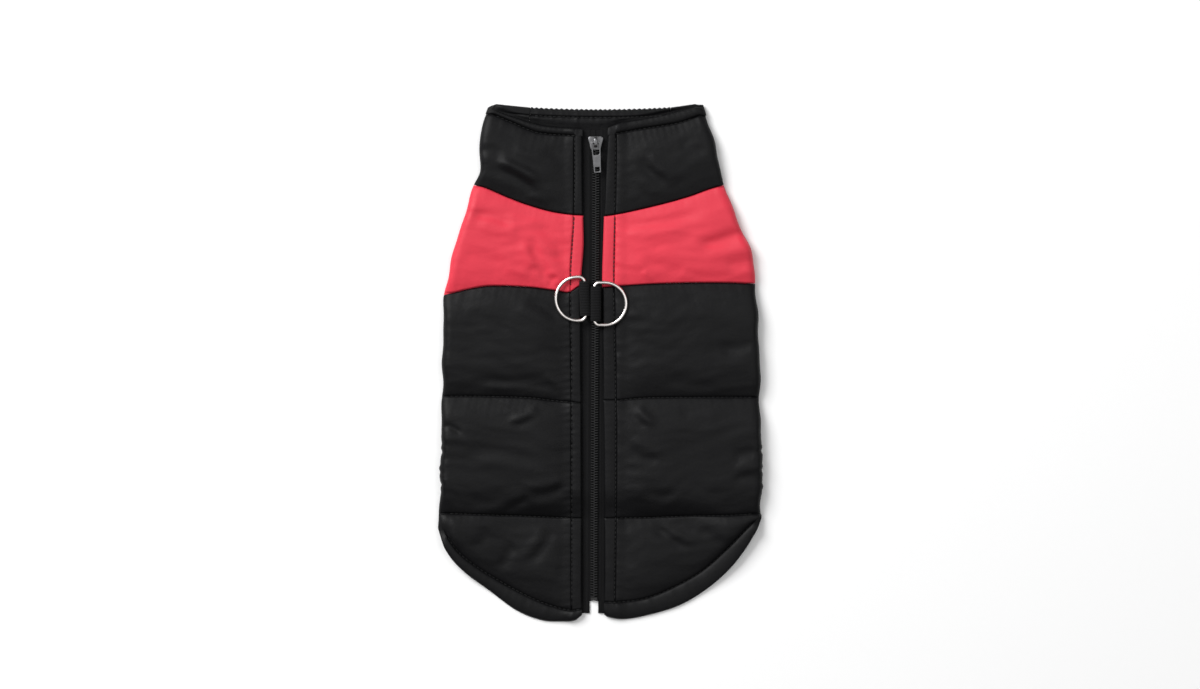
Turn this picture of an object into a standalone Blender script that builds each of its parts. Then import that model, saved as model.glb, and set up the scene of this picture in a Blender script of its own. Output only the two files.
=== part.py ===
"""Dog winter coat laid flat on its belly side, zip up.

Each padded panel is a closed wall that starts at the zip, folds round the coat's side and comes back
below to the belly seam. The belly panel closes the lower layer. A zip with its slider and pull tab, two
webbing loops and two D-rings lie on top.

Sizes are in millimetres and meshes are written in metres. +Y points to the collar, +Z up, and the origin is
on the surface below the middle of the coat. "out" is the distance from the middle line to either side.
"""

import math
from collections import namedtuple

import bmesh
import bpy
from mathutils import Matrix, Vector

MM = 0.001

# Walls and layers
LOWER_WALL = 4.0
SLIT = 0.4
UPPER_FLOOR = LOWER_WALL + SLIT
SEAM_GAP = 0.3
SEAM_WALL = 1.9
EDGE_WALL = 1.8
STRIP_WALL = 2.3
STRIP_CROWN = 0.5
HEM_CROWN = 0.9
PUFF_REACH = 24.0

# Fold round the coat's side
FOLD_RADIUS = 6.0
FOLD_HOLLOW = 3.0

# Hem: below the belly's own hem the back lies down on the surface
DROP_START = 2.0
DROP_END = 26.0
DROP_SIDE_START = 0.60

# Belly panel and leg holes
LEG_HOLE_Y = 78.0
LEG_HOLE_HALF_WIDTH = 21.0
LEG_HOLE_HALF_LENGTH = 28.0
BELLY_HEM_MIDDLE = -85.0
BELLY_HEM_SEAM = -92.0
THROAT_MIDDLE = 177.1
THROAT_SEAM = 178.5

# Zip
TAPE_HALF = 15.0
TAPE_THICK = 1.0
TAPE_TOP = 163.0
TAPE_BOTTOM = -175.0
TAPE_NOTCH = 3.3
ZIP_TOP_X = -3.3
ZIP_BOTTOM_X = -4.6
CHAIN_WIDTH = 5.6
CHAIN_THICK = 1.6
CHAIN_TOP = 152.0
CHAIN_BOTTOM = -166.0
CHAIN_FLOOR = UPPER_FLOOR + TAPE_THICK + SEAM_GAP

# Slider and pull tab
SLIDER_X = -3.4
SLIDER_Y = 152.6
SLIDER_LENGTH = 11.0
SLIDER_WIDTH = 10.4
SLIDER_PLATE = 1.0
SLIDER_ROUNDING = 1.6
BRIDGE_WIDTH = 1.7
BRIDGE_LENGTH = 7.4
BRIDGE_WALL = 0.9
BRIDGE_TUNNEL = 2.1
PULL_Y = 153.9
PULL_LEAN = math.radians(3.6)
PULL_LENGTH = 22.0
PULL_WIDTH = 6.2
PULL_TIP_WIDTH = 5.0
PULL_THICK = 1.1
PULL_BAR = 1.1
PULL_EYE_WIDTH = 3.4
PULL_EYE_LENGTH = 7.6
PULL_TIP_HOLE = 1.2

# Webbing loops and D-rings
WIRE_RADIUS = 1.4
BAR_CLEARANCE = 0.3
WEBBING_THICK = 1.1
WEBBING_WIDTH = 25.0
LOOP_HEIGHT = 10.4
RING_CORNER = 2.0

Side = namedtuple("Side", "name sign outline zip_edge zip_stitch lines")
Line = namedtuple("Line", "top at_fold at_seam")
Cell = namedtuple("Cell", "upper lower steps rise")
Crease = namedtuple("Crease", "side x0 y0 x1 y1 height width")
Ring = namedtuple("Ring", "name sign bar_x y height reach lean tilt foot")

# Side outline: y, out
LEFT_OUTLINE = (
    (-115.5, 113.6),
    (-89.0, 112.4),
    (-61.0, 111.7),
    (-26.0, 111.0),
    (16.0, 110.3),
    (44.0, 109.6),
    (58.0, 107.5),
    (79.0, 102.6),
    (100.0, 96.3),
    (124.0, 88.6),
    (134.0, 85.0),
    (156.0, 84.4),
    (170.0, 81.6),
    (178.5, 78.8),
)
RIGHT_OUTLINE = (
    (-108.0, 112.7),
    (-96.0, 112.4),
    (-68.0, 113.6),
    (-40.0, 111.7),
    (-5.0, 111.7),
    (27.0, 110.3),
    (51.0, 108.9),
    (65.0, 107.5),
    (79.0, 105.4),
    (93.0, 99.0),
    (107.0, 92.8),
    (125.0, 86.8),
    (142.0, 82.3),
    (156.0, 79.5),
    (167.0, 76.0),
    (180.6, 71.8),
)

# Panel edge along the zip: y, out
LEFT_ZIP_EDGE = ((-166.0, 12.9), (-96.0, 12.9), (58.0, 13.4), (82.6, 11.8), (103.0, 12.2), (164.0, 12.6))
RIGHT_ZIP_EDGE = ((-166.0, 2.5), (-96.0, 2.5), (56.7, 1.2), (82.6, 1.8), (103.0, 2.5), (164.0, 3.8))

# Topstitch along the zip: y, out
LEFT_ZIP_STITCH = ((-160.0, 20.3), (-15.0, 20.3), (61.6, 21.0), (103.6, 18.6), (164.0, 18.2))
RIGHT_ZIP_STITCH = ((-160.0, 10.2), (-96.0, 10.9), (-26.0, 10.9), (57.0, 9.5), (103.0, 10.2), (164.0, 11.0))

# Sewn lines across each side: top is a table of out, y; then y below the fold and y at the belly seam
LEFT_LINES = {
    "collar_edge": Line(
        ((12.6, 163.6), (16.5, 163.8), (42.4, 166.6), (63.4, 172.9), (78.8, 178.5)), 180.9, THROAT_SEAM
    ),
    "collar_stitch": Line(((12.6, 158.2), (23.5, 158.9), (44.5, 161.0), (60.5, 167.3), (76.0, 174.0)), 175.5, 173.5),
    "neck_seam": Line(((12.6, 103.6), (35.4, 105.7), (52.9, 110.6), (72.5, 118.2), (81.8, 124.4)), 124.4, 124.0),
    "band_seam": Line(
        ((13.6, 49.7), (35.4, 51.1), (49.4, 52.9), (76.0, 53.9), (94.0, 52.8), (103.2, 47.4)), 47.4, 46.5
    ),
    "quilt_1": Line(((13.6, -28.0), (35.4, -25.9), (49.4, -24.2), (84.4, -23.1), (108.9, -23.1)), -23.1, -23.1),
    "quilt_2": Line(((20.0, -108.5), (49.4, -107.1), (76.0, -106.1), (111.0, -104.7)), -101.0, -84.0),
    "hem_stitch": Line(
        (
            (13.0, -172.0),
            (21.4, -172.9),
            (35.4, -169.4),
            (49.4, -163.8),
            (69.0, -153.3),
            (87.9, -141.4),
            (100.5, -130.5),
            (108.0, -119.5),
            (113.6, -110.5),
        ),
        -105.0,
        -88.0,
    ),
    "hem_edge": Line(
        (
            (13.0, -176.3),
            (17.9, -180.0),
            (27.0, -180.9),
            (41.0, -180.0),
            (59.0, -173.0),
            (78.0, -159.0),
            (96.3, -145.0),
            (108.0, -131.0),
            (113.6, -115.5),
        ),
        -109.0,
        BELLY_HEM_SEAM,
    ),
}
RIGHT_LINES = {
    "collar_edge": Line(
        ((3.9, 164.3), (15.0, 168.0), (34.6, 171.5), (62.7, 177.8), (71.8, 180.6)), 180.9, THROAT_SEAM
    ),
    "collar_stitch": Line(((3.9, 158.5), (9.5, 159.6), (27.0, 163.1), (54.3, 167.6), (70.0, 173.0)), 174.0, 173.5),
    "neck_seam": Line(
        ((2.5, 102.9), (10.9, 104.3), (27.7, 108.5), (46.6, 114.1), (66.2, 119.2), (80.4, 124.4)), 124.4, 124.0
    ),
    "band_seam": Line(((1.0, 52.9), (15.0, 53.9), (38.2, 55.3), (64.0, 56.0), (90.7, 56.0), (102.0, 55.5)), 55.5, 46.5),
    "quilt_1": Line(((12.3, -25.9), (34.7, -24.2), (109.6, -23.8)), -23.8, -23.1),
    "quilt_2": Line(((3.2, -108.5), (29.1, -108.2), (55.7, -107.1), (90.7, -106.2), (111.7, -104.8)), -100.0, -84.0),
    "hem_stitch": Line(
        (
            (2.5, -167.0),
            (10.2, -167.3),
            (29.0, -165.2),
            (46.6, -158.9),
            (69.7, -146.3),
            (87.2, -130.9),
            (104.0, -113.6),
            (112.7, -106.2),
        ),
        -102.6,
        -88.0,
    ),
    "hem_edge": Line(
        (
            (2.5, -176.0),
            (5.0, -177.6),
            (17.2, -179.2),
            (36.0, -175.7),
            (55.7, -169.4),
            (73.2, -159.0),
            (89.3, -145.0),
            (100.5, -131.0),
            (108.9, -117.0),
            (112.7, -107.8),
        ),
        -105.2,
        BELLY_HEM_SEAM,
    ),
}

LEFT = Side("left", -1, LEFT_OUTLINE, LEFT_ZIP_EDGE, LEFT_ZIP_STITCH, LEFT_LINES)
RIGHT = Side("right", 1, RIGHT_OUTLINE, RIGHT_ZIP_EDGE, RIGHT_ZIP_STITCH, RIGHT_LINES)

# Belly seam: y, out
BELLY_SEAM = ((-92.0, 61.0), (0.0, 61.0), (46.5, 59.0), (106.0, 55.0), (124.0, 53.0), (178.5, 49.0))

# Columns of a side panel, from the zip edge to the belly seam
STRIP_STEPS = (0.0, 0.5, 1.0)
FIELD_STEPS = (0.04, 0.11, 0.20, 0.30, 0.40, 0.50, 0.60, 0.70, 0.80, 0.89, 0.95, 1.0)
FOLD_ANGLES = (60.0, 30.0, 0.0, -35.0, -90.0)
LOWER_STEPS = (0.35, 0.7, 1.0)

# Rows of a cell, as parts of the way from its upper to its lower line
WIDE_CELL = (0.0, 0.05, 0.12, 0.22, 0.34, 0.50, 0.66, 0.78, 0.88, 0.95, 1.0)
HEM_CELL = (0.0, 0.06, 0.14, 0.25, 0.38, 0.52, 0.66, 0.79, 0.90, 1.0)
COLLAR_CELL = (0.0, 0.08, 0.20, 0.36, 0.52, 0.68, 0.82, 0.93, 1.0)
TURNING = (0.0, 0.5, 1.0)

# Largest folds: side, start, end, height (troughs are negative) and half width
CREASES = (
    Crease("left", 86.0, 148.0, 70.0, 146.0, -2.0, 4.5),
    Crease("left", 70.0, 141.0, 41.0, 125.0, 1.3, 5.0),
    Crease("left", 88.0, 104.0, 62.0, 96.0, -1.5, 5.5),
    Crease("left", 49.0, 85.0, 32.0, 55.0, -1.8, 5.0),
    Crease("left", 39.0, 62.0, 22.0, 58.0, 1.0, 4.5),
    Crease("left", 50.0, 44.0, 28.0, 30.0, -1.5, 5.5),
    Crease("left", 88.0, -12.0, 30.0, -16.0, -1.2, 4.5),
    Crease("left", 44.0, -31.0, 64.0, -40.0, 1.4, 4.5),
    Crease("left", 110.0, -43.0, 98.0, -50.0, -2.0, 5.0),
    Crease("left", 92.0, -62.0, 44.0, -70.0, -1.0, 5.5),
    Crease("left", 24.0, -87.0, 50.0, -93.0, -2.0, 5.0),
    Crease("left", 50.0, -93.0, 68.0, -103.0, -1.8, 5.0),
    Crease("left", 62.0, -126.0, 71.0, -144.0, -1.5, 5.0),
    Crease("left", 34.0, -117.0, 50.0, -139.0, -1.4, 5.0),
    Crease("right", 28.0, 140.0, 47.0, 124.0, -1.6, 5.5),
    Crease("right", 12.0, 97.0, 70.0, 104.0, -1.1, 5.5),
    Crease("right", 70.0, 82.0, 103.0, 93.0, -1.7, 5.5),
    Crease("right", 30.0, 72.0, 58.0, 66.0, -0.9, 5.5),
    Crease("right", 26.0, -30.0, 38.0, -42.0, 1.3, 4.5),
    Crease("right", 20.0, -61.0, 40.0, -68.0, -1.2, 5.5),
    Crease("right", 84.0, 10.0, 108.0, 14.0, -1.4, 5.5),
    Crease("right", 108.0, -62.0, 92.0, -66.0, -1.4, 5.0),
    Crease("right", 38.0, -114.0, 61.0, -129.0, -1.6, 5.0),
    Crease("right", 30.0, -88.0, 52.0, -92.0, -1.2, 5.5),
)

# D-rings: bar's x, middle y, height and reach over the wire's middle, lean in plan, tilt up from flat,
# and the width of the webbing's sewn foot
RINGS = (
    Ring("ring_left", -1, -10.8, 45.0, 30.4, 20.4, math.radians(2.0), math.radians(-2.0), 3.2),
    Ring("ring_right", 1, -4.4, 41.3, 29.6, 22.2, 0.0, math.radians(0.4), 1.4),
)

# Slot: colour, roughness, metallic
FINISHES = {
    "black_shell": ((0.017, 0.017, 0.019), 0.55, 0.0),
    "red_shell": ((0.84, 0.055, 0.09), 0.55, 0.0),
    "zip_tape": ((0.010, 0.010, 0.011), 0.9, 0.0),
    "zip_coil": ((0.012, 0.012, 0.013), 0.45, 0.0),
    "gunmetal": ((0.18, 0.18, 0.185), 0.35, 1.0),
    "nickel": ((0.72, 0.70, 0.67), 0.18, 1.0),
    "webbing": ((0.014, 0.014, 0.015), 0.85, 0.0),
}


def smooth(start, end, value):
    """Ease from 0 at start to 1 at end."""
    t = min(max((value - start) / (end - start), 0.0), 1.0)
    return t * t * (3.0 - 2.0 * t)


def mix(a, b, t):
    return a + (b - a) * t


def along(table, value):
    """Read a two-column table at value, on a smooth curve through its rows."""
    if value <= table[0][0]:
        return table[0][1]
    if value >= table[-1][0]:
        return table[-1][1]
    index = next(i for i in range(1, len(table)) if value <= table[i][0])

    def slope(i):
        low = table[max(i - 1, 0)]
        high = table[min(i + 1, len(table) - 1)]
        return (high[1] - low[1]) / (high[0] - low[0])

    (x0, y0), (x1, y1) = table[index - 1], table[index]
    span = x1 - x0
    t = (value - x0) / span
    rise_0 = slope(index - 1) * span
    rise_1 = slope(index) * span
    curve = 2.0 * t**3 - 3.0 * t**2
    return (curve + 1.0) * y0 + (t**3 - 2.0 * t**2 + t) * rise_0 - curve * y1 + (t**3 - t**2) * rise_1


def dome(distance, reach):
    """Padding's height beside a sewn line, from 0 on the line to 1 at its reach."""
    s = min(max(distance / reach, 0.0), 1.0)
    return 1.0 - (1.0 - s) ** 2


def corner(side, y):
    """Where the upper layer meets the fold round the side."""
    return along(side.outline, y) - FOLD_RADIUS


def belly_hem(out):
    """The y of the lower layer's hem at a distance from the middle."""
    if out < BELLY_SEAM[0][1]:
        return mix(BELLY_HEM_MIDDLE, BELLY_HEM_SEAM, (out / BELLY_SEAM[0][1]) ** 2)
    return mix(BELLY_HEM_SEAM, BELLY_HEM_SEAM - 16.0, min((out - BELLY_SEAM[0][1]) / 46.0, 1.0))


def floor_of_upper(x, y):
    """Height of the upper layer's underside: over the lower layer, or down on the surface below its hem."""
    side = LEFT if x < ZIP_BOTTOM_X else RIGHT
    out = abs(x)
    width = corner(side, y)
    held = smooth(DROP_SIDE_START, 1.0, out / width)
    drop = smooth(DROP_START, DROP_END, belly_hem(out) - y) * (1.0 - held)
    return UPPER_FLOOR * (1.0 - drop)


def zip_middle(y):
    return mix(ZIP_BOTTOM_X, ZIP_TOP_X, smooth(CHAIN_BOTTOM, CHAIN_TOP, y))


def raised_by_tape(side, x, y):
    """How far the zip tape below lifts the panel."""
    beyond = abs(x - zip_middle(y)) - TAPE_HALF
    return (TAPE_THICK + SEAM_GAP) * (1.0 - smooth(0.6, 8.0, beyond))


def crease_height(side, out, y):
    """Sum of the folds' heights at a point of a side."""
    total = 0.0
    for crease in CREASES:
        if crease.side != side.name:
            continue
        run = Vector((crease.x1 - crease.x0, crease.y1 - crease.y0))
        to_point = Vector((out - crease.x0, y - crease.y0))
        part = to_point.dot(run) / run.length_squared
        nearest = min(max(part, 0.0), 1.0)
        distance = (to_point - run * nearest).length
        total += crease.height * math.exp(-((distance / crease.width) ** 2))
    return total


def line_y(side, line, out):
    return along(line.top, out)


def wall(side, out, y, upper, lower, rise, turned):
    """Thickness of the padded upper wall inside a cell."""
    above = line_y(side, upper, out) - y
    below = y - line_y(side, lower, out)
    gap = max(above + below, 1.0)
    reach = min(PUFF_REACH, gap / 2.0)
    across = dome(min(above, below), reach)
    stitch = along(side.zip_stitch, y)
    edge = along(side.zip_edge, y)
    if turned:
        return SEAM_WALL + HEM_CROWN * 4.0 * (above / gap) * (below / gap)
    if out <= stitch:
        part = (out - edge) / (stitch - edge)
        return STRIP_WALL + STRIP_CROWN * 4.0 * part * (1.0 - part) * across - 0.3 * (1.0 - across)
    padding = across * dome(out - stitch, PUFF_REACH)
    folds = crease_height(side, out, y) * min(1.0, 1.6 * padding)
    return max(SEAM_WALL + rise * padding + folds, SEAM_WALL)


def lower_edge(y):
    """Distance from the middle of the seam between the belly and the side panels, leg hole left out."""
    return along(BELLY_SEAM, y)


def leg_hole(y):
    """Half width of the leg hole at a y, 0 beyond its ends."""
    t = (y - LEG_HOLE_Y) / LEG_HOLE_HALF_LENGTH
    return LEG_HOLE_HALF_WIDTH * math.sqrt(max(0.0, 1.0 - t * t))


def columns():
    """The columns of a side panel as (kind, value)."""
    kinds = [("strip", s) for s in STRIP_STEPS]
    kinds += [("field", s) for s in FIELD_STEPS]
    kinds += [("fold", math.radians(a)) for a in FOLD_ANGLES]
    kinds += [("lower", s) for s in LOWER_STEPS]
    return kinds


def row_y(side, cell, part, out, shift):
    return mix(line_y(side, cell[0], out), line_y(side, cell[1], out), part) + shift


def side_point(side, column, cell, part, shift):
    """Outer and inner point of a side panel at a column and a row."""
    kind, value = column
    upper = side.lines[cell.upper]
    lower = side.lines[cell.lower]
    turned = "edge" in cell.upper + cell.lower
    y = mix(line_y(side, upper, 60.0), line_y(side, lower, 60.0), part)
    if kind in ("strip", "field"):
        for _ in range(6):
            stitch = along(side.zip_stitch, y)
            if kind == "strip":
                out = mix(along(side.zip_edge, y), stitch, value)
            else:
                out = mix(stitch, corner(side, y), value)
            y = row_y(side, (upper, lower), part, out, shift)
        x = side.sign * out
        floor = floor_of_upper(x, y) + raised_by_tape(side, x, y)
        thick = wall(side, out, y, upper, lower, cell.rise, turned)
        if kind == "strip" and value == 0.0:
            thick = min(thick, EDGE_WALL)
        return (x, y, floor + thick), (x, y, floor)

    at_fold = mix(upper.at_fold, lower.at_fold, part) + shift
    if kind == "fold":
        for _ in range(6):
            start = corner(side, y)
            above = max(math.cos(value), 0.0) if value > 0.0 else 1.0
            y = row_y(side, (upper, lower), part, start + FOLD_RADIUS * above, shift)
        inner_y = row_y(side, (upper, lower), part, start + FOLD_HOLLOW * above, shift)
        height = UPPER_FLOOR + wall(side, start, y, upper, lower, cell.rise, turned)
        below = smooth(0.0, math.pi / 2.0, -value)
        start = mix(start, corner(side, at_fold), below)
        outer_z = max(0.0, height / 2.0 * (1.0 + math.sin(value)))
        inner_z = LOWER_WALL + SLIT / 2.0 * (1.0 + math.sin(value))
        outer_point = (side.sign * (start + FOLD_RADIUS * math.cos(value)), mix(y, at_fold, below), outer_z)
        inner_point = (side.sign * (start + FOLD_HOLLOW * math.cos(value)), mix(inner_y, at_fold, below), inner_z)
        return outer_point, inner_point

    at_seam = mix(upper.at_seam, lower.at_seam, part) + shift
    start = corner(side, at_fold)
    end = lower_edge(at_seam) + leg_hole(at_seam) + SEAM_GAP / 2.0
    out = mix(start, end, value)
    y = mix(at_fold, at_seam, value)
    return (side.sign * out, y, 0.0), (side.sign * out, y, LOWER_WALL)


def principled(slot):
    """The material of a slot."""
    material = bpy.data.materials.get(slot)
    if material:
        return material
    colour, roughness, metallic = FINISHES[slot]
    material = bpy.data.materials.new(slot)
    material.use_nodes = True
    shader = material.node_tree.nodes["Principled BSDF"]
    shader.inputs["Base Color"].default_value = (*colour, 1.0)
    shader.inputs["Roughness"].default_value = roughness
    shader.inputs["Metallic"].default_value = metallic
    return material


def add_object(name, mesh, slot, smooth_angle=None):
    """Link a mesh under a name and give it its material."""
    mesh.materials.clear()
    mesh.materials.append(principled(slot))
    if smooth_angle is not None:
        mesh.shade_smooth()
        mesh.set_sharp_from_angle(angle=smooth_angle)
    obj = bpy.data.objects.new(name, mesh)
    bpy.context.scene.collection.objects.link(obj)
    return obj


def wall_mesh(name, across, down, place):
    """A closed wall over a grid: place(column, row) gives the outer and the inner point."""
    bm = bmesh.new()
    column = bm.verts.layers.int.new("column")
    row = bm.verts.layers.int.new("row")
    bmesh.ops.create_grid(bm, x_segments=across - 1, y_segments=down - 1, size=0.5)
    for vert in bm.verts:
        vert[column] = round((vert.co.x + 0.5) * (across - 1))
        vert[row] = round((0.5 - vert.co.y) * (down - 1))
    outer = set(bm.verts)
    bmesh.ops.extrude_face_region(bm, geom=bm.faces[:], use_keep_orig=True)
    for vert in bm.verts:
        outer_point, inner_point = place(vert[column], vert[row])
        vert.co = Vector(outer_point if vert in outer else inner_point) * MM
    bmesh.ops.recalc_face_normals(bm, faces=bm.faces[:])
    if bm.calc_volume(signed=True) < 0.0:
        bmesh.ops.reverse_faces(bm, faces=bm.faces[:])
    return mesh_of(name, bm)


def side_panel(name, side, cells, slot):
    """A padded panel from the zip round the side to the belly seam."""
    kinds = columns()
    rows = []
    for cell in cells:
        rows += [(cell, part) for part in cell.steps[0 if cell is cells[0] else 1 :]]
    last = len(rows) - 1

    def place(column, row):
        cell, part = rows[row]
        shift = 0.0
        if row == 0 and cell.upper in ("neck_seam", "band_seam"):
            shift = -SEAM_GAP / 2.0
        if row == last and cell.lower in ("neck_seam", "band_seam"):
            shift = SEAM_GAP / 2.0
        return side_point(side, kinds[column], cell, part, shift)

    mesh = wall_mesh(name, len(kinds), len(rows), place)
    return add_object(name, mesh, slot, math.radians(50.0))


def band_steps():
    """Rows of the band, placed where the leg hole's edge needs them."""
    top = LEFT_LINES["neck_seam"].at_seam
    bottom = LEFT_LINES["band_seam"].at_seam
    levels = [top, mix(top, LEG_HOLE_Y + LEG_HOLE_HALF_LENGTH, 0.35), mix(top, LEG_HOLE_Y + LEG_HOLE_HALF_LENGTH, 0.7)]
    for step in range(0, 181, 18):
        levels.append(LEG_HOLE_Y + LEG_HOLE_HALF_LENGTH * math.cos(math.radians(step)))
    levels.append(bottom)
    return tuple((top - level) / (top - bottom) for level in levels)


def belly_panel():
    """The lower layer's middle piece, from the throat to the belly hem, flat on the surface."""
    across = 9
    levels = [THROAT_SEAM, 173.5, 160.0, 142.0, 124.0, 112.0]
    for step in range(0, 181, 18):
        levels.append(LEG_HOLE_Y + LEG_HOLE_HALF_LENGTH * math.cos(math.radians(step)))
    levels += [46.5, 20.0, -10.0, -40.0, -66.0, BELLY_HEM_SEAM]

    def place(column, row):
        level = levels[row]
        half = lower_edge(level) - leg_hole(level) - SEAM_GAP / 2.0
        t = 2.0 * column / (across - 1) - 1.0
        x = half * t
        throat = (THROAT_MIDDLE - THROAT_SEAM) * (1.0 - t * t) * smooth(124.0, THROAT_SEAM, level)
        hem = (BELLY_HEM_MIDDLE - BELLY_HEM_SEAM) * (1.0 - t * t) * smooth(-20.0, BELLY_HEM_SEAM, level)
        y = level + throat + hem
        return (x, y, 0.0), (x, y, LOWER_WALL)

    mesh = wall_mesh("belly_panel", across, len(levels), place)
    return add_object("belly_panel", mesh, "black_shell", math.radians(50.0))


def zip_levels(top, bottom):
    """Rows along the zip, close together where the coat lies down past the belly's hem."""
    straight = [mix(top, -80.0, s) for s in (0.0, 0.2, 0.4, 0.6, 0.8, 1.0)]
    bend = [-86.0, -90.0, -94.0, -98.0, -102.0, -106.0, -110.0, -115.0, -140.0]
    return straight + bend + [CHAIN_BOTTOM, CHAIN_BOTTOM - 1.5, bottom]


def zip_tape(name, sign):
    """Half of the zip tape, under the panel's edge."""
    levels = zip_levels(TAPE_TOP, TAPE_BOTTOM)

    def place(column, row):
        y = levels[row]
        inner = TAPE_NOTCH if y < CHAIN_BOTTOM else SEAM_GAP / 2.0
        x = zip_middle(y) + sign * mix(inner, TAPE_HALF, column / 2.0)
        floor = floor_of_upper(x, y)
        return (x, y, floor), (x, y, floor + TAPE_THICK)

    return add_object(name, wall_mesh(name, 3, len(levels), place), "zip_tape")


def zip_chain():
    """The closed coil, a bar on the middle of the two tapes."""
    levels = [y for y in zip_levels(CHAIN_TOP, CHAIN_BOTTOM) if y >= CHAIN_BOTTOM][:-1] + [CHAIN_BOTTOM]

    def place(column, row):
        y = levels[row]
        x = zip_middle(y) + CHAIN_WIDTH * (column / 2.0 - 0.5)
        floor = floor_of_upper(x, y) + TAPE_THICK + SEAM_GAP
        return (x, y, floor), (x, y, floor + CHAIN_THICK)

    return add_object("zip_chain", wall_mesh("zip_chain", 3, len(levels), place), "zip_coil")


def box(low, high, rounded=0.0, rounded_axis="Z"):
    """A box between two corners, its edges along one axis rounded."""
    bm = bmesh.new()
    bmesh.ops.create_cube(bm, size=1.0)
    size = Vector(high) - Vector(low)
    middle = (Vector(high) + Vector(low)) / 2.0
    bmesh.ops.scale(bm, vec=size * MM, verts=bm.verts[:])
    if rounded > 0.0:
        axis = "XYZ".index(rounded_axis)
        edges = [e for e in bm.edges if abs((e.verts[0].co - e.verts[1].co)[axis]) > size[axis] * MM / 2.0]
        bmesh.ops.bevel(
            bm,
            geom=edges,
            offset=rounded * MM,
            segments=3,
            profile=0.5,
            affect="EDGES",
            material=-1,
        )
    bmesh.ops.translate(bm, vec=middle * MM, verts=bm.verts[:])
    return bm


def cylinder(radius, length, axis, middle, segments=24):
    """A cylinder about a point, along an axis."""
    bm = bmesh.new()
    bmesh.ops.create_cone(
        bm, cap_ends=True, segments=segments, radius1=radius * MM, radius2=radius * MM, depth=length * MM
    )
    turn = Vector((0.0, 0.0, 1.0)).rotation_difference(Vector(axis)).to_matrix()
    bmesh.ops.rotate(bm, cent=(0.0, 0.0, 0.0), matrix=turn, verts=bm.verts[:])
    bmesh.ops.translate(bm, vec=Vector(middle) * MM, verts=bm.verts[:])
    return bm


def guide(name, bm):
    """A shape that only cuts or joins another."""
    mesh = bpy.data.meshes.new(name)
    bm.to_mesh(mesh)
    bm.free()
    obj = bpy.data.objects.new(name, mesh)
    bpy.context.scene.collection.objects.link(obj)
    obj.hide_render = True
    obj.display_type = "WIRE"
    return obj


def combine(obj, operation, other):
    """Add an exact Boolean to an object."""
    modifier = obj.modifiers.new(other.name, "BOOLEAN")
    modifier.solver = "EXACT"
    modifier.operation = operation
    modifier.object = other


def mesh_of(name, bm):
    mesh = bpy.data.meshes.new(name)
    bm.to_mesh(mesh)
    bm.free()
    return mesh


def zip_slider():
    """The slider: a plate with two flanges beside the coil, and the bridge that holds the pull tab."""
    plate_floor = CHAIN_FLOOR + CHAIN_THICK + SEAM_GAP
    plate_top = plate_floor + SLIDER_PLATE
    half_width = SLIDER_WIDTH / 2.0
    half_length = SLIDER_LENGTH / 2.0
    body = box(
        (SLIDER_X - half_width, SLIDER_Y - half_length, CHAIN_FLOOR),
        (SLIDER_X + half_width, SLIDER_Y + half_length, plate_top),
        SLIDER_ROUNDING,
    )
    slider = add_object("zip_slider", mesh_of("zip_slider", body), "gunmetal", math.radians(40.0))
    channel = CHAIN_WIDTH / 2.0 + SEAM_GAP
    combine(
        slider,
        "DIFFERENCE",
        guide(
            "slider_channel",
            box(
                (SLIDER_X - channel, SLIDER_Y - SLIDER_LENGTH, CHAIN_FLOOR - 1.0),
                (SLIDER_X + channel, SLIDER_Y + SLIDER_LENGTH, plate_floor),
            ),
        ),
    )
    half_bridge = BRIDGE_LENGTH / 2.0
    bridge = guide(
        "bridge_outside",
        box(
            (SLIDER_X - BRIDGE_WIDTH / 2.0, PULL_Y - half_bridge, plate_top - 0.4),
            (SLIDER_X + BRIDGE_WIDTH / 2.0, PULL_Y + half_bridge, plate_top + BRIDGE_TUNNEL + BRIDGE_WALL),
            1.0,
            "X",
        ),
    )
    tunnel = guide(
        "bridge_tunnel",
        box(
            (SLIDER_X - BRIDGE_WIDTH, PULL_Y - half_bridge + BRIDGE_WALL, plate_top),
            (SLIDER_X + BRIDGE_WIDTH, PULL_Y + half_bridge - BRIDGE_WALL, plate_top + BRIDGE_TUNNEL),
        ),
    )
    combine(slider, "UNION", bridge)
    combine(slider, "DIFFERENCE", tunnel)
    return plate_top


def zip_pull(plate_top):
    """The pull tab, made about its hinge and laid along the zip."""
    axis_height = plate_top + BRIDGE_TUNNEL / 2.0
    half = PULL_THICK / 2.0
    body = box(
        (-PULL_WIDTH / 2.0, PULL_BAR / 2.0 - PULL_LENGTH, -half),
        (PULL_WIDTH / 2.0, PULL_BAR / 2.0, half),
        1.2,
    )
    for vert in body.verts:
        part = smooth(-0.3 * PULL_LENGTH, -PULL_LENGTH, vert.co.y / MM)
        vert.co.x *= mix(1.0, PULL_TIP_WIDTH / PULL_WIDTH, part)
    pull = add_object("zip_pull", mesh_of("zip_pull", body), "gunmetal", math.radians(40.0))
    eye_start = -PULL_BAR / 2.0
    eye = guide(
        "pull_eye",
        box((-PULL_EYE_WIDTH / 2.0, eye_start - PULL_EYE_LENGTH, -2.0), (PULL_EYE_WIDTH / 2.0, eye_start, 2.0), 0.7),
    )
    tip_y = -PULL_LENGTH + PULL_BAR / 2.0 + 1.2 + PULL_TIP_HOLE
    tip = guide("pull_tip_hole", cylinder(PULL_TIP_HOLE, 4.0, (0.0, 0.0, 1.0), (0.0, tip_y, 0.0), 16))
    place = Matrix.Translation(Vector((SLIDER_X, PULL_Y, axis_height)) * MM) @ Matrix.Rotation(PULL_LEAN, 4, "Z")
    for obj in (pull, eye, tip):
        obj.matrix_world = place
    combine(pull, "DIFFERENCE", eye)
    combine(pull, "DIFFERENCE", tip)


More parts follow.
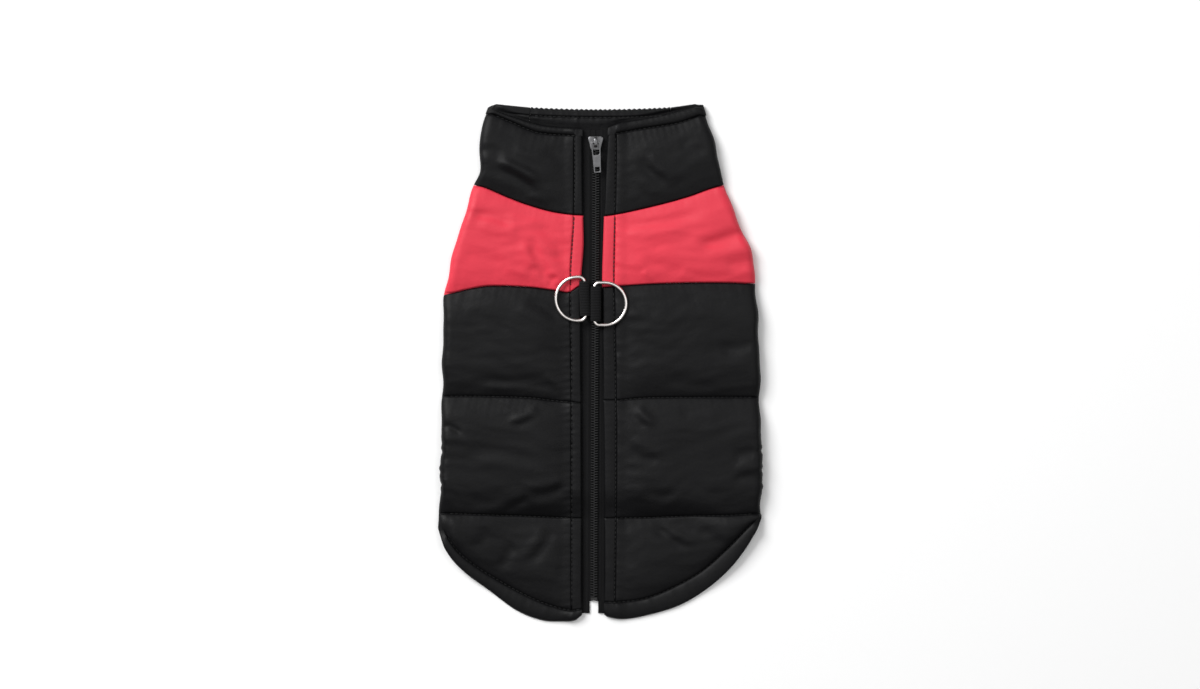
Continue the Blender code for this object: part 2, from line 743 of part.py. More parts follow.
def ring_path(ring):
    """Middle of a D-ring's wire in its own plane: straight bar, rounded corners, bow."""
    half = ring.height / 2.0
    straight = ring.reach - half
    turn = RING_CORNER
    points = []
    for step in range(4):
        angle = math.radians(90.0 + 30.0 * step)
        points.append((turn + turn * math.cos(angle), half - turn + turn * math.sin(angle)))
    for y in (half / 3.0, -half / 3.0):
        points.append((0.0, y))
    for step in range(4):
        angle = math.radians(180.0 + 30.0 * step)
        points.append((turn + turn * math.cos(angle), -half + turn + turn * math.sin(angle)))
    for step in range(13):
        angle = math.radians(-90.0 + 15.0 * step)
        points.append((straight + half * math.cos(angle), half * math.sin(angle)))
    return points


def ring_place(ring):
    """Frame of a ring: origin on its bar, X outward along the laid ring, Y along the bar."""
    turned = Matrix.Rotation(ring.lean, 4, "Z") @ Matrix.Rotation(-ring.sign * ring.tilt, 4, "Y")
    return Matrix.Translation(Vector((ring.bar_x, ring.y, LOOP_HEIGHT)) * MM) @ turned


def d_ring(ring):
    """A welded wire ring, its origin on its bar."""
    curve = bpy.data.curves.new(ring.name, "CURVE")
    curve.dimensions = "3D"
    curve.bevel_depth = WIRE_RADIUS * MM
    curve.bevel_resolution = 2
    path = ring_path(ring)
    spline = curve.splines.new("POLY")
    spline.points.add(len(path) - 1)
    for point, (x, y) in zip(spline.points, path):
        point.co = (ring.sign * x * MM, y * MM, 0.0, 1.0)
    spline.use_cyclic_u = True
    spline.use_smooth = True
    curve.materials.append(principled("nickel"))
    obj = bpy.data.objects.new(ring.name, curve)
    bpy.context.scene.collection.objects.link(obj)
    obj.matrix_world = ring_place(ring)


def webbing_loop(name, ring, side):
    """Webbing round a ring's bar, its end sewn down beside the panel's zip edge."""
    bore = WIRE_RADIUS + BAR_CLEARANCE
    outside = bore + WEBBING_THICK
    loop = add_object(
        name,
        mesh_of(name, cylinder(outside, WEBBING_WIDTH, (0.0, 1.0, 0.0), (0.0, 0.0, 0.0))),
        "webbing",
        math.radians(40.0),
    )
    lowest = CHAIN_FLOOR - LOOP_HEIGHT
    slack = math.sin(abs(ring.lean)) * WEBBING_WIDTH / 2.0
    edge = side.sign * along(side.zip_edge, ring.y) - ring.bar_x - side.sign * (SEAM_GAP + slack)
    foot = edge - side.sign * ring.foot
    half = WEBBING_WIDTH / 2.0
    flat = guide(
        name + "_flat",
        box((min(0.0, edge), -half, -outside), (max(0.0, edge), half, -bore)),
    )
    sewn = guide(
        name + "_sewn",
        box((min(foot, edge), -half, lowest), (max(foot, edge), half, -bore - 0.05)),
    )
    hole = guide(name + "_hole", cylinder(bore, WEBBING_WIDTH + 4.0, (0.0, 1.0, 0.0), (0.0, 0.0, 0.0)))
    place = Matrix.Translation(Vector((ring.bar_x, ring.y, LOOP_HEIGHT)) * MM) @ Matrix.Rotation(ring.lean, 4, "Z")
    for obj in (loop, flat, sewn, hole):
        obj.matrix_world = place
    combine(loop, "UNION", flat)
    combine(loop, "UNION", sewn)
    combine(loop, "DIFFERENCE", hole)


def build():
    for obj in list(bpy.data.objects):
        bpy.data.objects.remove(obj)
    collar_cells = (
        Cell("collar_edge", "collar_stitch", TURNING, 0.0),
        Cell("collar_stitch", "neck_seam", COLLAR_CELL, 3.4),
    )
    band_cells = (Cell("neck_seam", "band_seam", band_steps(), 3.8),)
    body_cells = (
        Cell("band_seam", "quilt_1", WIDE_CELL, 4.2),
        Cell("quilt_1", "quilt_2", WIDE_CELL, 4.2),
        Cell("quilt_2", "hem_stitch", HEM_CELL, 3.4),
        Cell("hem_stitch", "hem_edge", TURNING, 0.0),
    )
    for side in (LEFT, RIGHT):
        side_panel("collar_" + side.name, side, collar_cells, "black_shell")
        side_panel("band_" + side.name, side, band_cells, "red_shell")
        side_panel("body_" + side.name, side, body_cells, "black_shell")
        zip_tape("zip_tape_" + side.name, side.sign)
    belly_panel()
    zip_chain()
    plate_top = zip_slider()
    zip_pull(plate_top)
    for ring, side in zip(RINGS, (LEFT, RIGHT)):
        d_ring(ring)
        webbing_loop("loop_" + side.name, ring, side)


build()
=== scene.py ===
"""Looks of a padded dog winter coat laid flat: quilted shell, zip, webbing loops, D-rings and stitching."""

import logging
import math
from dataclasses import dataclass, field
from enum import Enum
from typing import Any, Callable, Sequence

import bmesh
import bpy
import numpy as np
from mathutils import Matrix, Vector
from mathutils.bvhtree import BVHTree


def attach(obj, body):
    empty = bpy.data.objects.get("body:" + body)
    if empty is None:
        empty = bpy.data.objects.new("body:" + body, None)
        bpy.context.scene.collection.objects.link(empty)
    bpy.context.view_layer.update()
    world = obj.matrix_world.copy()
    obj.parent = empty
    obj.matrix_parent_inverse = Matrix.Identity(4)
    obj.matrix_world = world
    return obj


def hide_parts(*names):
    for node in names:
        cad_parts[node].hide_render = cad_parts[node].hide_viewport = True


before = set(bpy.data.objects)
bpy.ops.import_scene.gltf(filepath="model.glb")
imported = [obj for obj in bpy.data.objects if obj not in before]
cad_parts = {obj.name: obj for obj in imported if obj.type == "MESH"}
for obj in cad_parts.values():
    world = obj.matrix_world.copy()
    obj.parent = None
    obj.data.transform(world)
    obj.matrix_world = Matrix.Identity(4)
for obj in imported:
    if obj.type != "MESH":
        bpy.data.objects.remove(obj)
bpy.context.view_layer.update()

LOG = logging.getLogger("dog_coat")
MM = 0.001
Colour = tuple[float, float, float]
Pair = tuple[float, float]


# Shader tools


class Term:
    """A shader value that takes part in Python expressions."""

    def __init__(self, graph: "Graph", socket: bpy.types.NodeSocket) -> None:
        """Keep the socket and the graph that it belongs to."""
        self.graph = graph
        self.socket = socket

    def _math(self, operation: str, first: Any, second: Any) -> "Term":
        """Add one Math node.

        Args:
            operation: The Math node's operation.
            first: Term or number.
            second: Term or number.

        Returns:
            The node's result.
        """
        node = self.graph.node("ShaderNodeMath", {"operation": operation}, {0: first, 1: second})
        return Term(self.graph, node.outputs[0])

    def __add__(self, other: Any) -> "Term":
        """Sum."""
        return self._math("ADD", self, other)

    __radd__ = __add__

    def __sub__(self, other: Any) -> "Term":
        """Difference."""
        return self._math("SUBTRACT", self, other)

    def __rsub__(self, other: Any) -> "Term":
        """Difference from a number."""
        return self._math("SUBTRACT", other, self)

    def __mul__(self, other: Any) -> "Term":
        """Product."""
        return self._math("MULTIPLY", self, other)

    __rmul__ = __mul__

    def __truediv__(self, other: Any) -> "Term":
        """Quotient."""
        return self._math("DIVIDE", self, other)

    def __pow__(self, other: Any) -> "Term":
        """Power."""
        return self._math("POWER", self, other)

    def between(self, low: float, high: float, out_low: float = 0.0, out_high: float = 1.0) -> "Term":
        """Map a range smoothly onto another.

        Args:
            low: Value that gives out_low.
            high: Value that gives out_high.
            out_low: Result at low and below.
            out_high: Result at high and above.

        Returns:
            The mapped value.
        """
        settings = {"interpolation_type": "SMOOTHSTEP"}
        sockets = {"Value": self, "From Min": low, "From Max": high, "To Min": out_low, "To Max": out_high}
        return Term(self.graph, self.graph.node("ShaderNodeMapRange", settings, sockets).outputs["Result"])


class Graph:
    """The node tree of one material."""

    def __init__(self, name: str) -> None:
        """Start a material with a bare Principled shader.

        Args:
            name: The material's name.
        """
        self.material = bpy.data.materials.new(name)
        self.material.use_nodes = True
        self.tree = self.material.node_tree
        self.shader = self.tree.nodes["Principled BSDF"]
        self.place = self.node("ShaderNodeTexCoord").outputs["Object"]

    def node(
        self, kind: str, settings: dict[str, Any] | None = None, sockets: dict[Any, Any] | None = None
    ) -> Any:
        """Add a node.

        Args:
            kind: The node's type.
            settings: Its properties, set first; "stops" fills a ramp.
            sockets: Values or links of its inputs, by name or index.

        Returns:
            The node.
        """
        node = self.tree.nodes.new(kind)
        for key, value in (settings or {}).items():
            if key == "stops":
                for index, (at, colour) in enumerate(value):
                    ramp = node.color_ramp.elements
                    stop = ramp[index] if index < len(ramp) else ramp.new(at)
                    stop.position = at
                    stop.color = (*colour, 1.0)
            else:
                setattr(node, key, value)
        for key, value in (sockets or {}).items():
            self.feed(node.inputs[key], value)
        return node

    def feed(self, socket: bpy.types.NodeSocket, value: Any) -> None:
        """Link or set one input.

        Args:
            socket: The input.
            value: Term, output socket, number, vector or colour.
        """
        if isinstance(value, Term):
            self.tree.links.new(value.socket, socket)
        elif isinstance(value, bpy.types.NodeSocket):
            self.tree.links.new(value, socket)
        else:
            socket.default_value = value

    def set(self, **values: Any) -> None:
        """Set the shader's own sockets, whose names are given with underscores."""
        for key, value in values.items():
            self.feed(self.shader.inputs[key.replace("_", " ")], value)

    def stretched(self, scale: Sequence[float], turn: float = 0.0) -> Any:
        """Object coordinates, turned about Z and then scaled.

        Args:
            scale: Factors along X, Y and Z.
            turn: Turn about Z, in degrees.

        Returns:
            The vector output.
        """
        sockets = {"Vector": self.place, "Rotation": (0.0, 0.0, math.radians(turn)), "Scale": tuple(scale)}
        return self.node("ShaderNodeMapping", {"vector_type": "POINT"}, sockets).outputs["Vector"]

    def noise(self, size: float, detail: float = 3.0, vector: Any = None, twist: float = 0.0) -> Term:
        """Noise whose features are about a size.

        Args:
            size: Feature size in millimetres.
            detail: Octaves.
            vector: Coordinates, or None for the object's.
            twist: Distortion.

        Returns:
            A value from 0 to 1.
        """
        sockets = {
            "Vector": self.place if vector is None else vector,
            "Scale": 1.0 / (size * MM),
            "Detail": detail,
            "Roughness": 0.55,
            "Distortion": twist,
        }
        return Term(self, self.node("ShaderNodeTexNoise", {}, sockets).outputs[0])

    def ribs(self, pitch: float, axis: str, turn: float = 0.0, wobble: float = 0.0) -> Term:
        """Even ribs.

        Args:
            pitch: Distance from rib to rib in millimetres.
            axis: Axis that the ribs follow each other along.
            turn: Turn of the pattern about Z, in degrees.
            wobble: Distortion.

        Returns:
            A value from 0 to 1.
        """
        sockets = {
            "Vector": self.stretched((1.0, 1.0, 1.0), turn),
            "Scale": math.pi / (10.0 * pitch * MM),
            "Distortion": wobble,
            "Detail": 1.0,
            "Detail Scale": 1.0,
        }
        settings = {"wave_type": "BANDS", "bands_direction": axis, "wave_profile": "SIN"}
        return Term(self, self.node("ShaderNodeTexWave", settings, sockets).outputs["Fac"])

    def tinted(self, dark: Colour, light: Colour, amount: Term) -> Any:
        """A colour between two.

        Args:
            dark: Colour at 0.
            light: Colour at 1.
            amount: Where between them.

        Returns:
            The colour output.
        """
        sockets = {0: amount, 6: (*dark, 1.0), 7: (*light, 1.0)}
        return self.node("ShaderNodeMix", {"data_type": "RGBA", "clamp_factor": True}, sockets).outputs[2]

    def relief(self, height: Term, depth: float, strength: float = 1.0) -> None:
        """Bump the shader's normal.

        Args:
            height: Value from 0 to 1.
            depth: Height at 1, in millimetres.
            strength: The bump's strength.
        """
        sockets = {"Height": height, "Distance": depth * MM, "Strength": strength}
        bump = self.node("ShaderNodeBump", {}, sockets)
        self.feed(self.shader.inputs["Normal"], bump.outputs["Normal"])


def shade(colour: Colour, factor: float) -> Colour:
    """A colour made lighter or darker by a factor."""
    return tuple(min(c * factor, 1.0) for c in colour)


# Finishes


@dataclass(frozen=True)
class ShellCloth:
    """Thin, slightly shiny polyester shell over padding, crinkled by wear."""

    name: str
    colour: Colour
    roughness: float = 0.5
    specular: float = 0.3
    crinkle: float = 0.55

    def dress(self) -> bpy.types.Material:
        """Make the material: tone, weave and the small crinkles of thin cloth.

        Returns:
            The material.
        """
        graph = Graph(self.name)
        tone = graph.noise(70.0, 4.0)
        graph.set(
            Base_Color=graph.tinted(shade(self.colour, 0.86), shade(self.colour, 1.14), tone),
            Roughness=graph.noise(24.0, 3.0).between(
                0.25, 0.75, self.roughness - 0.06, self.roughness + 0.07
            ),
        )
        self.set_sheen(graph)
        weave = graph.ribs(0.62, "X") * graph.ribs(0.7, "Y")
        soft = graph.noise(19.0, 3.0, graph.stretched((0.7, 1.25, 1.0), 18.0), 0.6)
        sharp = graph.noise(6.5, 3.0, graph.stretched((0.75, 1.2, 1.0), -24.0), 1.1)
        small = graph.noise(2.6, 2.0)
        height = soft * 0.55 + sharp * 0.25 + small * 0.15 + weave * 0.05
        graph.relief(height, self.crinkle)
        return graph.material

    def set_sheen(self, graph: Graph) -> None:
        """Set the gloss that is the same all over.

        Args:
            graph: The material's nodes.
        """
        graph.set(
            Specular_IOR_Level=self.specular,
            Sheen_Weight=0.08,
            Sheen_Roughness=0.45,
            Sheen_Tint=(*shade(self.colour, 4.0), 1.0),
        )


@dataclass(frozen=True)
class WovenTape:
    """Matt woven tape or webbing with raised ribs."""

    name: str
    colour: Colour
    rib_pitch: float
    rib_axis: str
    cross_pitch: float
    depth: float = 0.16

    def dress(self) -> bpy.types.Material:
        """Make the material: ribs one way, picks the other, and a little fluff; the colour follows the
        weave's height, with painted shade in its hollows and painted highlight on its crowns.

        Returns:
            The material.
        """
        graph = Graph(self.name)
        cross_axis = "Y" if self.rib_axis == "X" else "X"
        ribs = graph.ribs(self.rib_pitch, self.rib_axis, 0.0, 0.4)
        picks = graph.ribs(self.cross_pitch, cross_axis, 0.0, 0.4)
        fluff = graph.noise(0.9, 2.0)
        woven = ribs * 0.6 + picks * 0.28 + fluff * 0.2
        graph.set(
            # Base colour darker in the weave's hollows and lighter on its crowns: painted shade and painted
            # highlight.
            Base_Color=graph.tinted(shade(self.colour, 0.55), shade(self.colour, 1.5), woven),
            Roughness=fluff.between(0.2, 0.8, 0.78, 0.95),
            Specular_IOR_Level=0.12,
            Sheen_Weight=0.04,
            Sheen_Roughness=0.5,
        )
        graph.relief(woven, self.depth)
        return graph.material


@dataclass(frozen=True)
class SewingThread:
    """Twisted polyester thread."""

    name: str
    colour: Colour

    def dress(self) -> bpy.types.Material:
        """Make the material: twisted plies with a soft shine, with painted shade between the plies and
        painted highlight on them.

        Returns:
            The material.
        """
        graph = Graph(self.name)
        plies = graph.ribs(0.34, "DIAGONAL", 0.0, 0.2)
        graph.set(
            # Base colour darker between the plies and lighter on them: painted shade and painted highlight.
            Base_Color=graph.tinted(shade(self.colour, 0.6), shade(self.colour, 1.3), plies),
            Roughness=graph.noise(1.2, 2.0).between(0.2, 0.8, 0.5, 0.68),
            Specular_IOR_Level=0.35,
        )
        graph.relief(plies, 0.05)
        return graph.material


@dataclass(frozen=True)
class PlatedMetal:
    """Plated wire or die-cast metal with fine handling marks."""

    name: str
    colour: Colour
    roughness: float
    grain: float = 0.02

    def dress(self) -> bpy.types.Material:
        """Make the material: uneven polish, dulled patches and hairline marks.

        Returns:
            The material.
        """
        graph = Graph(self.name)
        patches = graph.noise(3.2, 4.0)
        marks = graph.noise(1.1, 3.0, graph.stretched((1.0, 0.12, 1.0), 31.0))
        graph.set(
            Base_Color=graph.tinted(shade(self.colour, 0.82), shade(self.colour, 1.08), patches),
            Roughness=(patches * 0.6 + marks * 0.4).between(
                0.3, 0.75, self.roughness * 0.75, self.roughness * 1.5
            ),
            Metallic=1.0,
        )
        graph.relief(marks * 0.5 + patches * 0.5, self.grain)
        return graph.material


@dataclass(frozen=True)
class MouldedNylon:
    """Drawn nylon filament of a zip coil."""

    name: str
    colour: Colour

    def dress(self) -> bpy.types.Material:
        """Make the material: semi-gloss filament with a faint grain.

        Returns:
            The material.
        """
        graph = Graph(self.name)
        grain = graph.noise(0.8, 2.0)
        graph.set(
            Base_Color=graph.tinted(shade(self.colour, 0.8), shade(self.colour, 1.35), grain),
            Roughness=grain.between(0.2, 0.8, 0.28, 0.42),
            Specular_IOR_Level=0.45,
        )
        graph.relief(grain, 0.03)
        return graph.material


@dataclass(frozen=True)
class StudioPaper:
    """Pale studio surface."""

    name: str
    colour: Colour

    def dress(self) -> bpy.types.Material:
        """Make the material: near white with the faintest tooth.

        Returns:
            The material.
        """
        graph = Graph(self.name)
        tooth = graph.noise(3.0, 2.0)
        graph.set(
            Base_Color=graph.tinted(shade(self.colour, 0.99), self.colour, tooth),
            Roughness=0.9,
            Specular_IOR_Level=0.1,
        )
        return graph.material


class Finish(Enum):
    """Every finish of the coat and its stage."""

    BLACK_SHELL = ShellCloth("black_shell_cloth", (0.0029, 0.0029, 0.0034), 0.50, 0.16)
    RED_SHELL = ShellCloth("red_shell_cloth", (0.66, 0.036, 0.062), 0.52, 0.26, 0.5)
    ZIP_TAPE = WovenTape("zip_tape_weave", (0.0056, 0.0056, 0.0060), 0.85, "X", 0.6)
    WEBBING = WovenTape("webbing_weave", (0.0066, 0.0066, 0.0070), 1.9, "Y", 0.8, 0.22)
    BLACK_THREAD = SewingThread("black_thread", (0.0045, 0.0045, 0.0048))
    # Red thread darkened far below the red cloth: partly its own colour, partly painted shade of the groove
    # it is sewn in.
    RED_THREAD = SewingThread("red_thread", (0.075, 0.004, 0.008))
    COIL = MouldedNylon("zip_coil_nylon", (0.006, 0.006, 0.0065))
    GUNMETAL = PlatedMetal("gunmetal_plate", (0.165, 0.165, 0.17), 0.34)
    NICKEL = PlatedMetal("nickel_plate", (0.90, 0.85, 0.82), 0.22, 0.010)
    PAPER = StudioPaper("studio_paper", (0.95, 0.95, 0.95))

    def material(self) -> bpy.types.Material:
        """The finish's material, made once."""
        made = bpy.data.materials.get(self.value.name)
        return made or self.value.dress()


# Mesh tools


def finished(
    name: str, bm: bmesh.types.BMesh, finishes: Sequence[Finish], sharp: float = 50.0
) -> bpy.types.Object:
    """Turn a bmesh in metres into a piece.

    Args:
        name: The piece's name.
        bm: The mesh, which is freed.
        finishes: Its finishes, in slot order.
        sharp: Angle in degrees above which an edge stays sharp.

    Returns:
        The object, at the origin.
    """
    mesh = bpy.data.meshes.new(name)
    bm.to_mesh(mesh)
    bm.free()
    for finish in finishes:
        mesh.materials.append(finish.material())
    mesh.shade_smooth()
    mesh.set_sharp_from_angle(angle=math.radians(sharp))
    piece = bpy.data.objects.new(name, mesh)
    bpy.context.scene.collection.objects.link(piece)
    return piece


def turned_out(bm: bmesh.types.BMesh) -> None:
    """Point a closed mesh's faces outwards.

    Args:
        bm: The mesh.
    """
    bmesh.ops.recalc_face_normals(bm, faces=bm.faces[:])
    if bm.calc_volume(signed=True) < 0.0:
        bmesh.ops.reverse_faces(bm, faces=bm.faces[:])


Placer = Callable[[np.ndarray, np.ndarray], tuple[np.ndarray, np.ndarray]]


def walled(across: int, down: int, place: Placer) -> bmesh.types.BMesh:
    """A closed wall over a grid.

    Args:
        across: Number of columns of points.
        down: Number of rows of points.
        place: Gives the outer and inner points in millimetres for column and row indices.

    Returns:
        The wall in metres.
    """
    bm = bmesh.new()
    column = bm.verts.layers.int.new("column")
    row = bm.verts.layers.int.new("row")
    bmesh.ops.create_grid(bm, x_segments=across - 1, y_segments=down - 1, size=0.5)
    for vert in bm.verts:
        vert[column] = round((vert.co.x + 0.5) * (across - 1))
        vert[row] = round((0.5 - vert.co.y) * (down - 1))
    count = len(bm.verts)
    bmesh.ops.extrude_face_region(bm, geom=bm.faces[:], use_keep_orig=True)
    verts = list(bm.verts)
    columns = np.array([vert[column] for vert in verts])
    rows = np.array([vert[row] for vert in verts])
    outer, inner = place(columns, rows)
    is_outer = np.arange(len(verts)) < count
    points = np.where(is_outer[:, None], outer, inner) * MM
    for vert, point in zip(verts, points):
        vert.co = point
    turned_out(bm)
    return bm


def eased(low: float, high: float, at: np.ndarray) -> np.ndarray:
    """Smooth step from 0 at low to 1 at high."""
    t = np.clip((at - low) / (high - low), 0.0, 1.0)
    return t * t * (3.0 - 2.0 * t)


def blended(a: Any, b: Any, t: Any) -> Any:
    """Straight mix of two values."""
    return a + (b - a) * t


def spread(
    length: float, near: Sequence[float], pitch: float, far: Sequence[float] | None = None
) -> list[float]:
    """Grid positions from 0 to 1, dense at the ends.

    Args:
        length: Real length in millimetres.
        near: Distances of the first positions from the start.
        pitch: Spacing in between.
        far: Distances of the last positions from the end, or None for the same as near.

    Returns:
        Sorted positions.
    """
    far = near if far is None else far
    start = near[-1] if near else 0.0
    stop = length - (far[-1] if far else 0.0)
    steps = max(int(round((stop - start) / pitch)), 1)
    middle = [start + (stop - start) * i / steps for i in range(1, steps)]
    marks = [0.0, *near, *middle, *(length - d for d in reversed(far)), length]
    return [m / length for m in marks]


@dataclass(frozen=True)
class Profile:
    """A smooth curve through the rows of a two-column table."""

    rows: tuple[Pair, ...]

    def __call__(self, at: Any) -> Any:
        """Read the curve, held constant beyond its ends.

        Args:
            at: Number or array of first-column values.

        Returns:
            Second-column values.
        """
        xs, ys = np.array(self.rows).T
        slopes = np.empty_like(ys)
        slopes[1:-1] = (ys[2:] - ys[:-2]) / (xs[2:] - xs[:-2])
        slopes[0] = (ys[1] - ys[0]) / (xs[1] - xs[0])
        slopes[-1] = (ys[-1] - ys[-2]) / (xs[-1] - xs[-2])
        at = np.clip(at, xs[0], xs[-1])
        i = np.clip(np.searchsorted(xs, at), 1, len(xs) - 1)
        span = xs[i] - xs[i - 1]
        t = (at - xs[i - 1]) / span
        bend = 2.0 * t**3 - 3.0 * t**2
        start = (bend + 1.0) * ys[i - 1] + (t**3 - 2.0 * t**2 + t) * slopes[i - 1] * span
        return start - bend * ys[i] + (t**3 - t**2) * slopes[i] * span


# The coat's cut


@dataclass(frozen=True)
class Line:
    """A sewn line round one side: a curve of y over distance from the middle, then y below the fold."""

    top: Profile
    at_fold: float
    at_seam: float


@dataclass(frozen=True)
class Crease:
    """One fold of the cloth, from a start to an end in distance from the middle and y."""

    start: Pair
    end: Pair
    height: float
    width: float
    bow: float = 0.0
    lean: float = 0.0

    def relief(self, out: np.ndarray, y: np.ndarray) -> np.ndarray:
        """Height that the fold adds at points.

        Args:
            out: Distance from the middle.
            y: Place along the coat.

        Returns:
            Height in millimetres, negative for a valley.
        """
        run = np.array(self.end) - np.array(self.start)
        length = float(np.hypot(*run))
        along = ((out - self.start[0]) * run[0] + (y - self.start[1]) * run[1]) / length**2
        aside = ((out - self.start[0]) * run[1] - (y - self.start[1]) * run[0]) / length
        inside = np.clip(along, 0.0, 1.0)
        aside = aside - self.bow * 4.0 * inside * (1.0 - inside)
        beyond = (along - inside) * length
        fade = eased(-0.12, 0.22, along) * (1.0 - eased(0.72, 1.12, along))
        reach = np.hypot(aside, beyond) / (1.15 * self.width)
        return self.height * fade * np.exp(-(reach**2)) * (1.0 + self.lean * aside / self.width)


@dataclass(frozen=True)
class Side:
    """One side of the coat: its outline, zip edge and sewn lines, in millimetres."""

    name: str
    sign: int
    outline: Profile
    zip_edge: Profile
    zip_stitch: Profile
    lines: dict[str, Line]
    creases: tuple[Crease, ...] = ()


@dataclass(frozen=True)
class Cell:
    """A padded field between two sewn lines."""

    upper: str
    lower: str
    rise: float
    length: float
    turned: bool = False


@dataclass(frozen=True)
class CoatShape:
    """Sizes that every panel shares, in millimetres."""

    lower_wall: float = 4.0
    slit: float = 0.4
    seam_gap: float = 0.3
    seam_wall: float = 1.9
    strip_wall: float = 2.3
    strip_crown: float = 0.6
    hem_crown: float = 1.0
    puff_reach: float = 24.0
    narrow_cell: float = 24.0
    fold_radius: float = 6.0
    fold_hollow: float = 3.0
    drop: Pair = (2.0, 26.0)
    drop_side: float = 0.60
    hem_middle: float = -85.0
    hem_seam: float = -92.0
    throat_middle: float = 177.1
    throat_seam: float = 178.5
    hem_slant: Pair = (16.0, 46.0)
    rim_stitch: float = 5.6
    rim_ridge_x: float = -16.4
    leg_hole_y: float = 78.0
    leg_hole_half: Pair = (21.0, 28.0)
    zip_x: Pair = (-4.6, -3.3)
    zip_y: Pair = (-166.0, 152.0)
    tape_half: float = 15.0
    tape_thick: float = 1.0
    belly_seam: Profile = Profile(
        ((-92.0, 61.0), (0.0, 61.0), (46.5, 59.0), (106.0, 55.0), (124.0, 53.0), (178.5, 49.0))
    )

    @property
    def upper_floor(self) -> float:
        """Height of the upper layer's underside over the lower layer."""
        return self.lower_wall + self.slit

    def zip_middle(self, y: Any) -> Any:
        """X of the zip's middle line."""
        return blended(self.zip_x[0], self.zip_x[1], eased(self.zip_y[0], self.zip_y[1], y))

    def belly_hem(self, out: np.ndarray) -> np.ndarray:
        """Y of the lower layer's hem.

        Args:
            out: Distance from the middle.

        Returns:
            Y of the hem.
        """
        seam = self.belly_seam(self.hem_seam)
        inside = blended(self.hem_middle, self.hem_seam, (out / seam) ** 2)
        outside = self.hem_seam - self.hem_slant[0] * np.clip((out - seam) / self.hem_slant[1], 0.0, 1.0)
        return np.where(out < seam, inside, outside)

    def leg_hole(self, y: Any) -> Any:
        """Half width of a leg hole at a y."""
        t = (y - self.leg_hole_y) / self.leg_hole_half[1]
        return self.leg_hole_half[0] * np.sqrt(np.clip(1.0 - t * t, 0.0, 1.0))

    def corner(self, side: Side, y: Any) -> Any:
        """Where the upper layer meets the fold."""
        return side.outline(y) - self.fold_radius

    def floor(self, side: Side, x: np.ndarray, y: np.ndarray) -> np.ndarray:
        """Height of the upper layer's underside.

        Args:
            side: The side that the points are on.
            x: Place across.
            y: Place along the coat.

        Returns:
            Height in millimetres.
        """
        out = np.abs(x)
        held = eased(self.drop_side, 1.0, out / self.corner(side, y))
        fall = eased(self.drop[0], self.drop[1], self.belly_hem(out) - y) * (1.0 - held)
        return self.upper_floor * (1.0 - fall)

    def far_rim(self, x: np.ndarray, y: np.ndarray, below: np.ndarray, side: Side) -> np.ndarray:
        """How far the far collar's turned rim rises behind the near collar.

        Args:
            x: Place across.
            y: Place along.
            below: Distance from the far edge.
            side: The side that the points are on.

        Returns:
            Rise in millimetres.
        """
        shown = eased(0.5, 3.5, y - side.lines["collar_edge"].top(np.abs(x)))
        roll = 1.5 * (1.0 - eased(0.0, 1.6, below)) ** 2
        beside = below - self.rim_stitch
        groove = 0.9 * np.exp(-((beside / 0.6) ** 2))
        puckers = 0.36 * gathers(x * 1.4, 4.0) * np.exp(-np.abs(beside) / 3.5)
        ridge = 0.5 * np.exp(-(((x - self.rim_ridge_x) / 0.9) ** 2)) * (below > self.rim_stitch)
        return shown * (1.6 - roll - groove + puckers + ridge)

    def over_tape(self, x: np.ndarray, y: np.ndarray) -> np.ndarray:
        """How far the zip tape lifts the panel above it."""
        beyond = np.abs(x - self.zip_middle(y)) - self.tape_half
        return (self.tape_thick + self.seam_gap) * (1.0 - eased(0.6, 8.0, beyond))


SHAPE = CoatShape()
# Pitch in millimetres and weight of each ripple beside a sewn line
GATHER_RIPPLES = ((4.7, 0.3), (7.3, 0.45), (11.9, 0.5), (19.0, 0.35))
# Pitch in millimetres and direction in degrees of each broad wave
PADDING_WAVES = ((61.0, 20.0), (43.0, 112.0), (37.0, 63.0), (29.0, 158.0), (23.0, 95.0))
# Pitch in millimetres, direction in degrees and weight of each set of fine wrinkles
FINE_WRINKLES = (
    (5.9, 91.0, 0.16), (8.5, 84.0, 0.35), (12.0, 97.0, 0.45), (17.0, 74.0, 0.45), (10.0, 116.0, 0.22),
)
# Rounds in which a point's y and its distance from the middle, which depend on each other, settle
SETTLING_ROUNDS = 7


def dome(distance: np.ndarray, reach: Any) -> np.ndarray:
    """Height of padding beside a sewn line, from 0 to 1."""
    return 1.0 - (1.0 - np.clip(distance / reach, 0.0, 1.0)) ** 2


def gathers(along: np.ndarray, seed: float) -> np.ndarray:
    """Uneven ripples along a sewn line, from about -1 to 1.

    Args:
        along: Distance along the line, in millimetres.
        seed: Number that sets the pattern.

    Returns:
        Height of the ripples.
    """
    ripple = np.zeros_like(along)
    for pitch, weight in GATHER_RIPPLES:
        phase = seed * 2.1 + pitch
        swing = 0.55 + 0.45 * np.sin(along / (pitch * 5.3) + phase * 1.7)
        bend = 1.4 * np.sin(along / 31.0 + seed)
        ripple += weight * swing * np.sin(2.0 * math.pi * along / pitch + phase + bend)
    return ripple


def waves(x: np.ndarray, y: np.ndarray, seed: float) -> np.ndarray:
    """Broad unevenness of the padding, from about -1 to 1.

    Args:
        x: Place across.
        y: Place along the coat.
        seed: Number that sets the pattern.

    Returns:
        Height of the waves.
    """
    total = np.zeros_like(x)
    for index, (pitch, turn) in enumerate(PADDING_WAVES):
        angle = math.radians(turn + 9.0 * seed)
        step = x * math.cos(angle) + y * math.sin(angle)
        total += 0.3 * np.sin(2.0 * math.pi * step / pitch + seed * (index + 1.3))
    return total


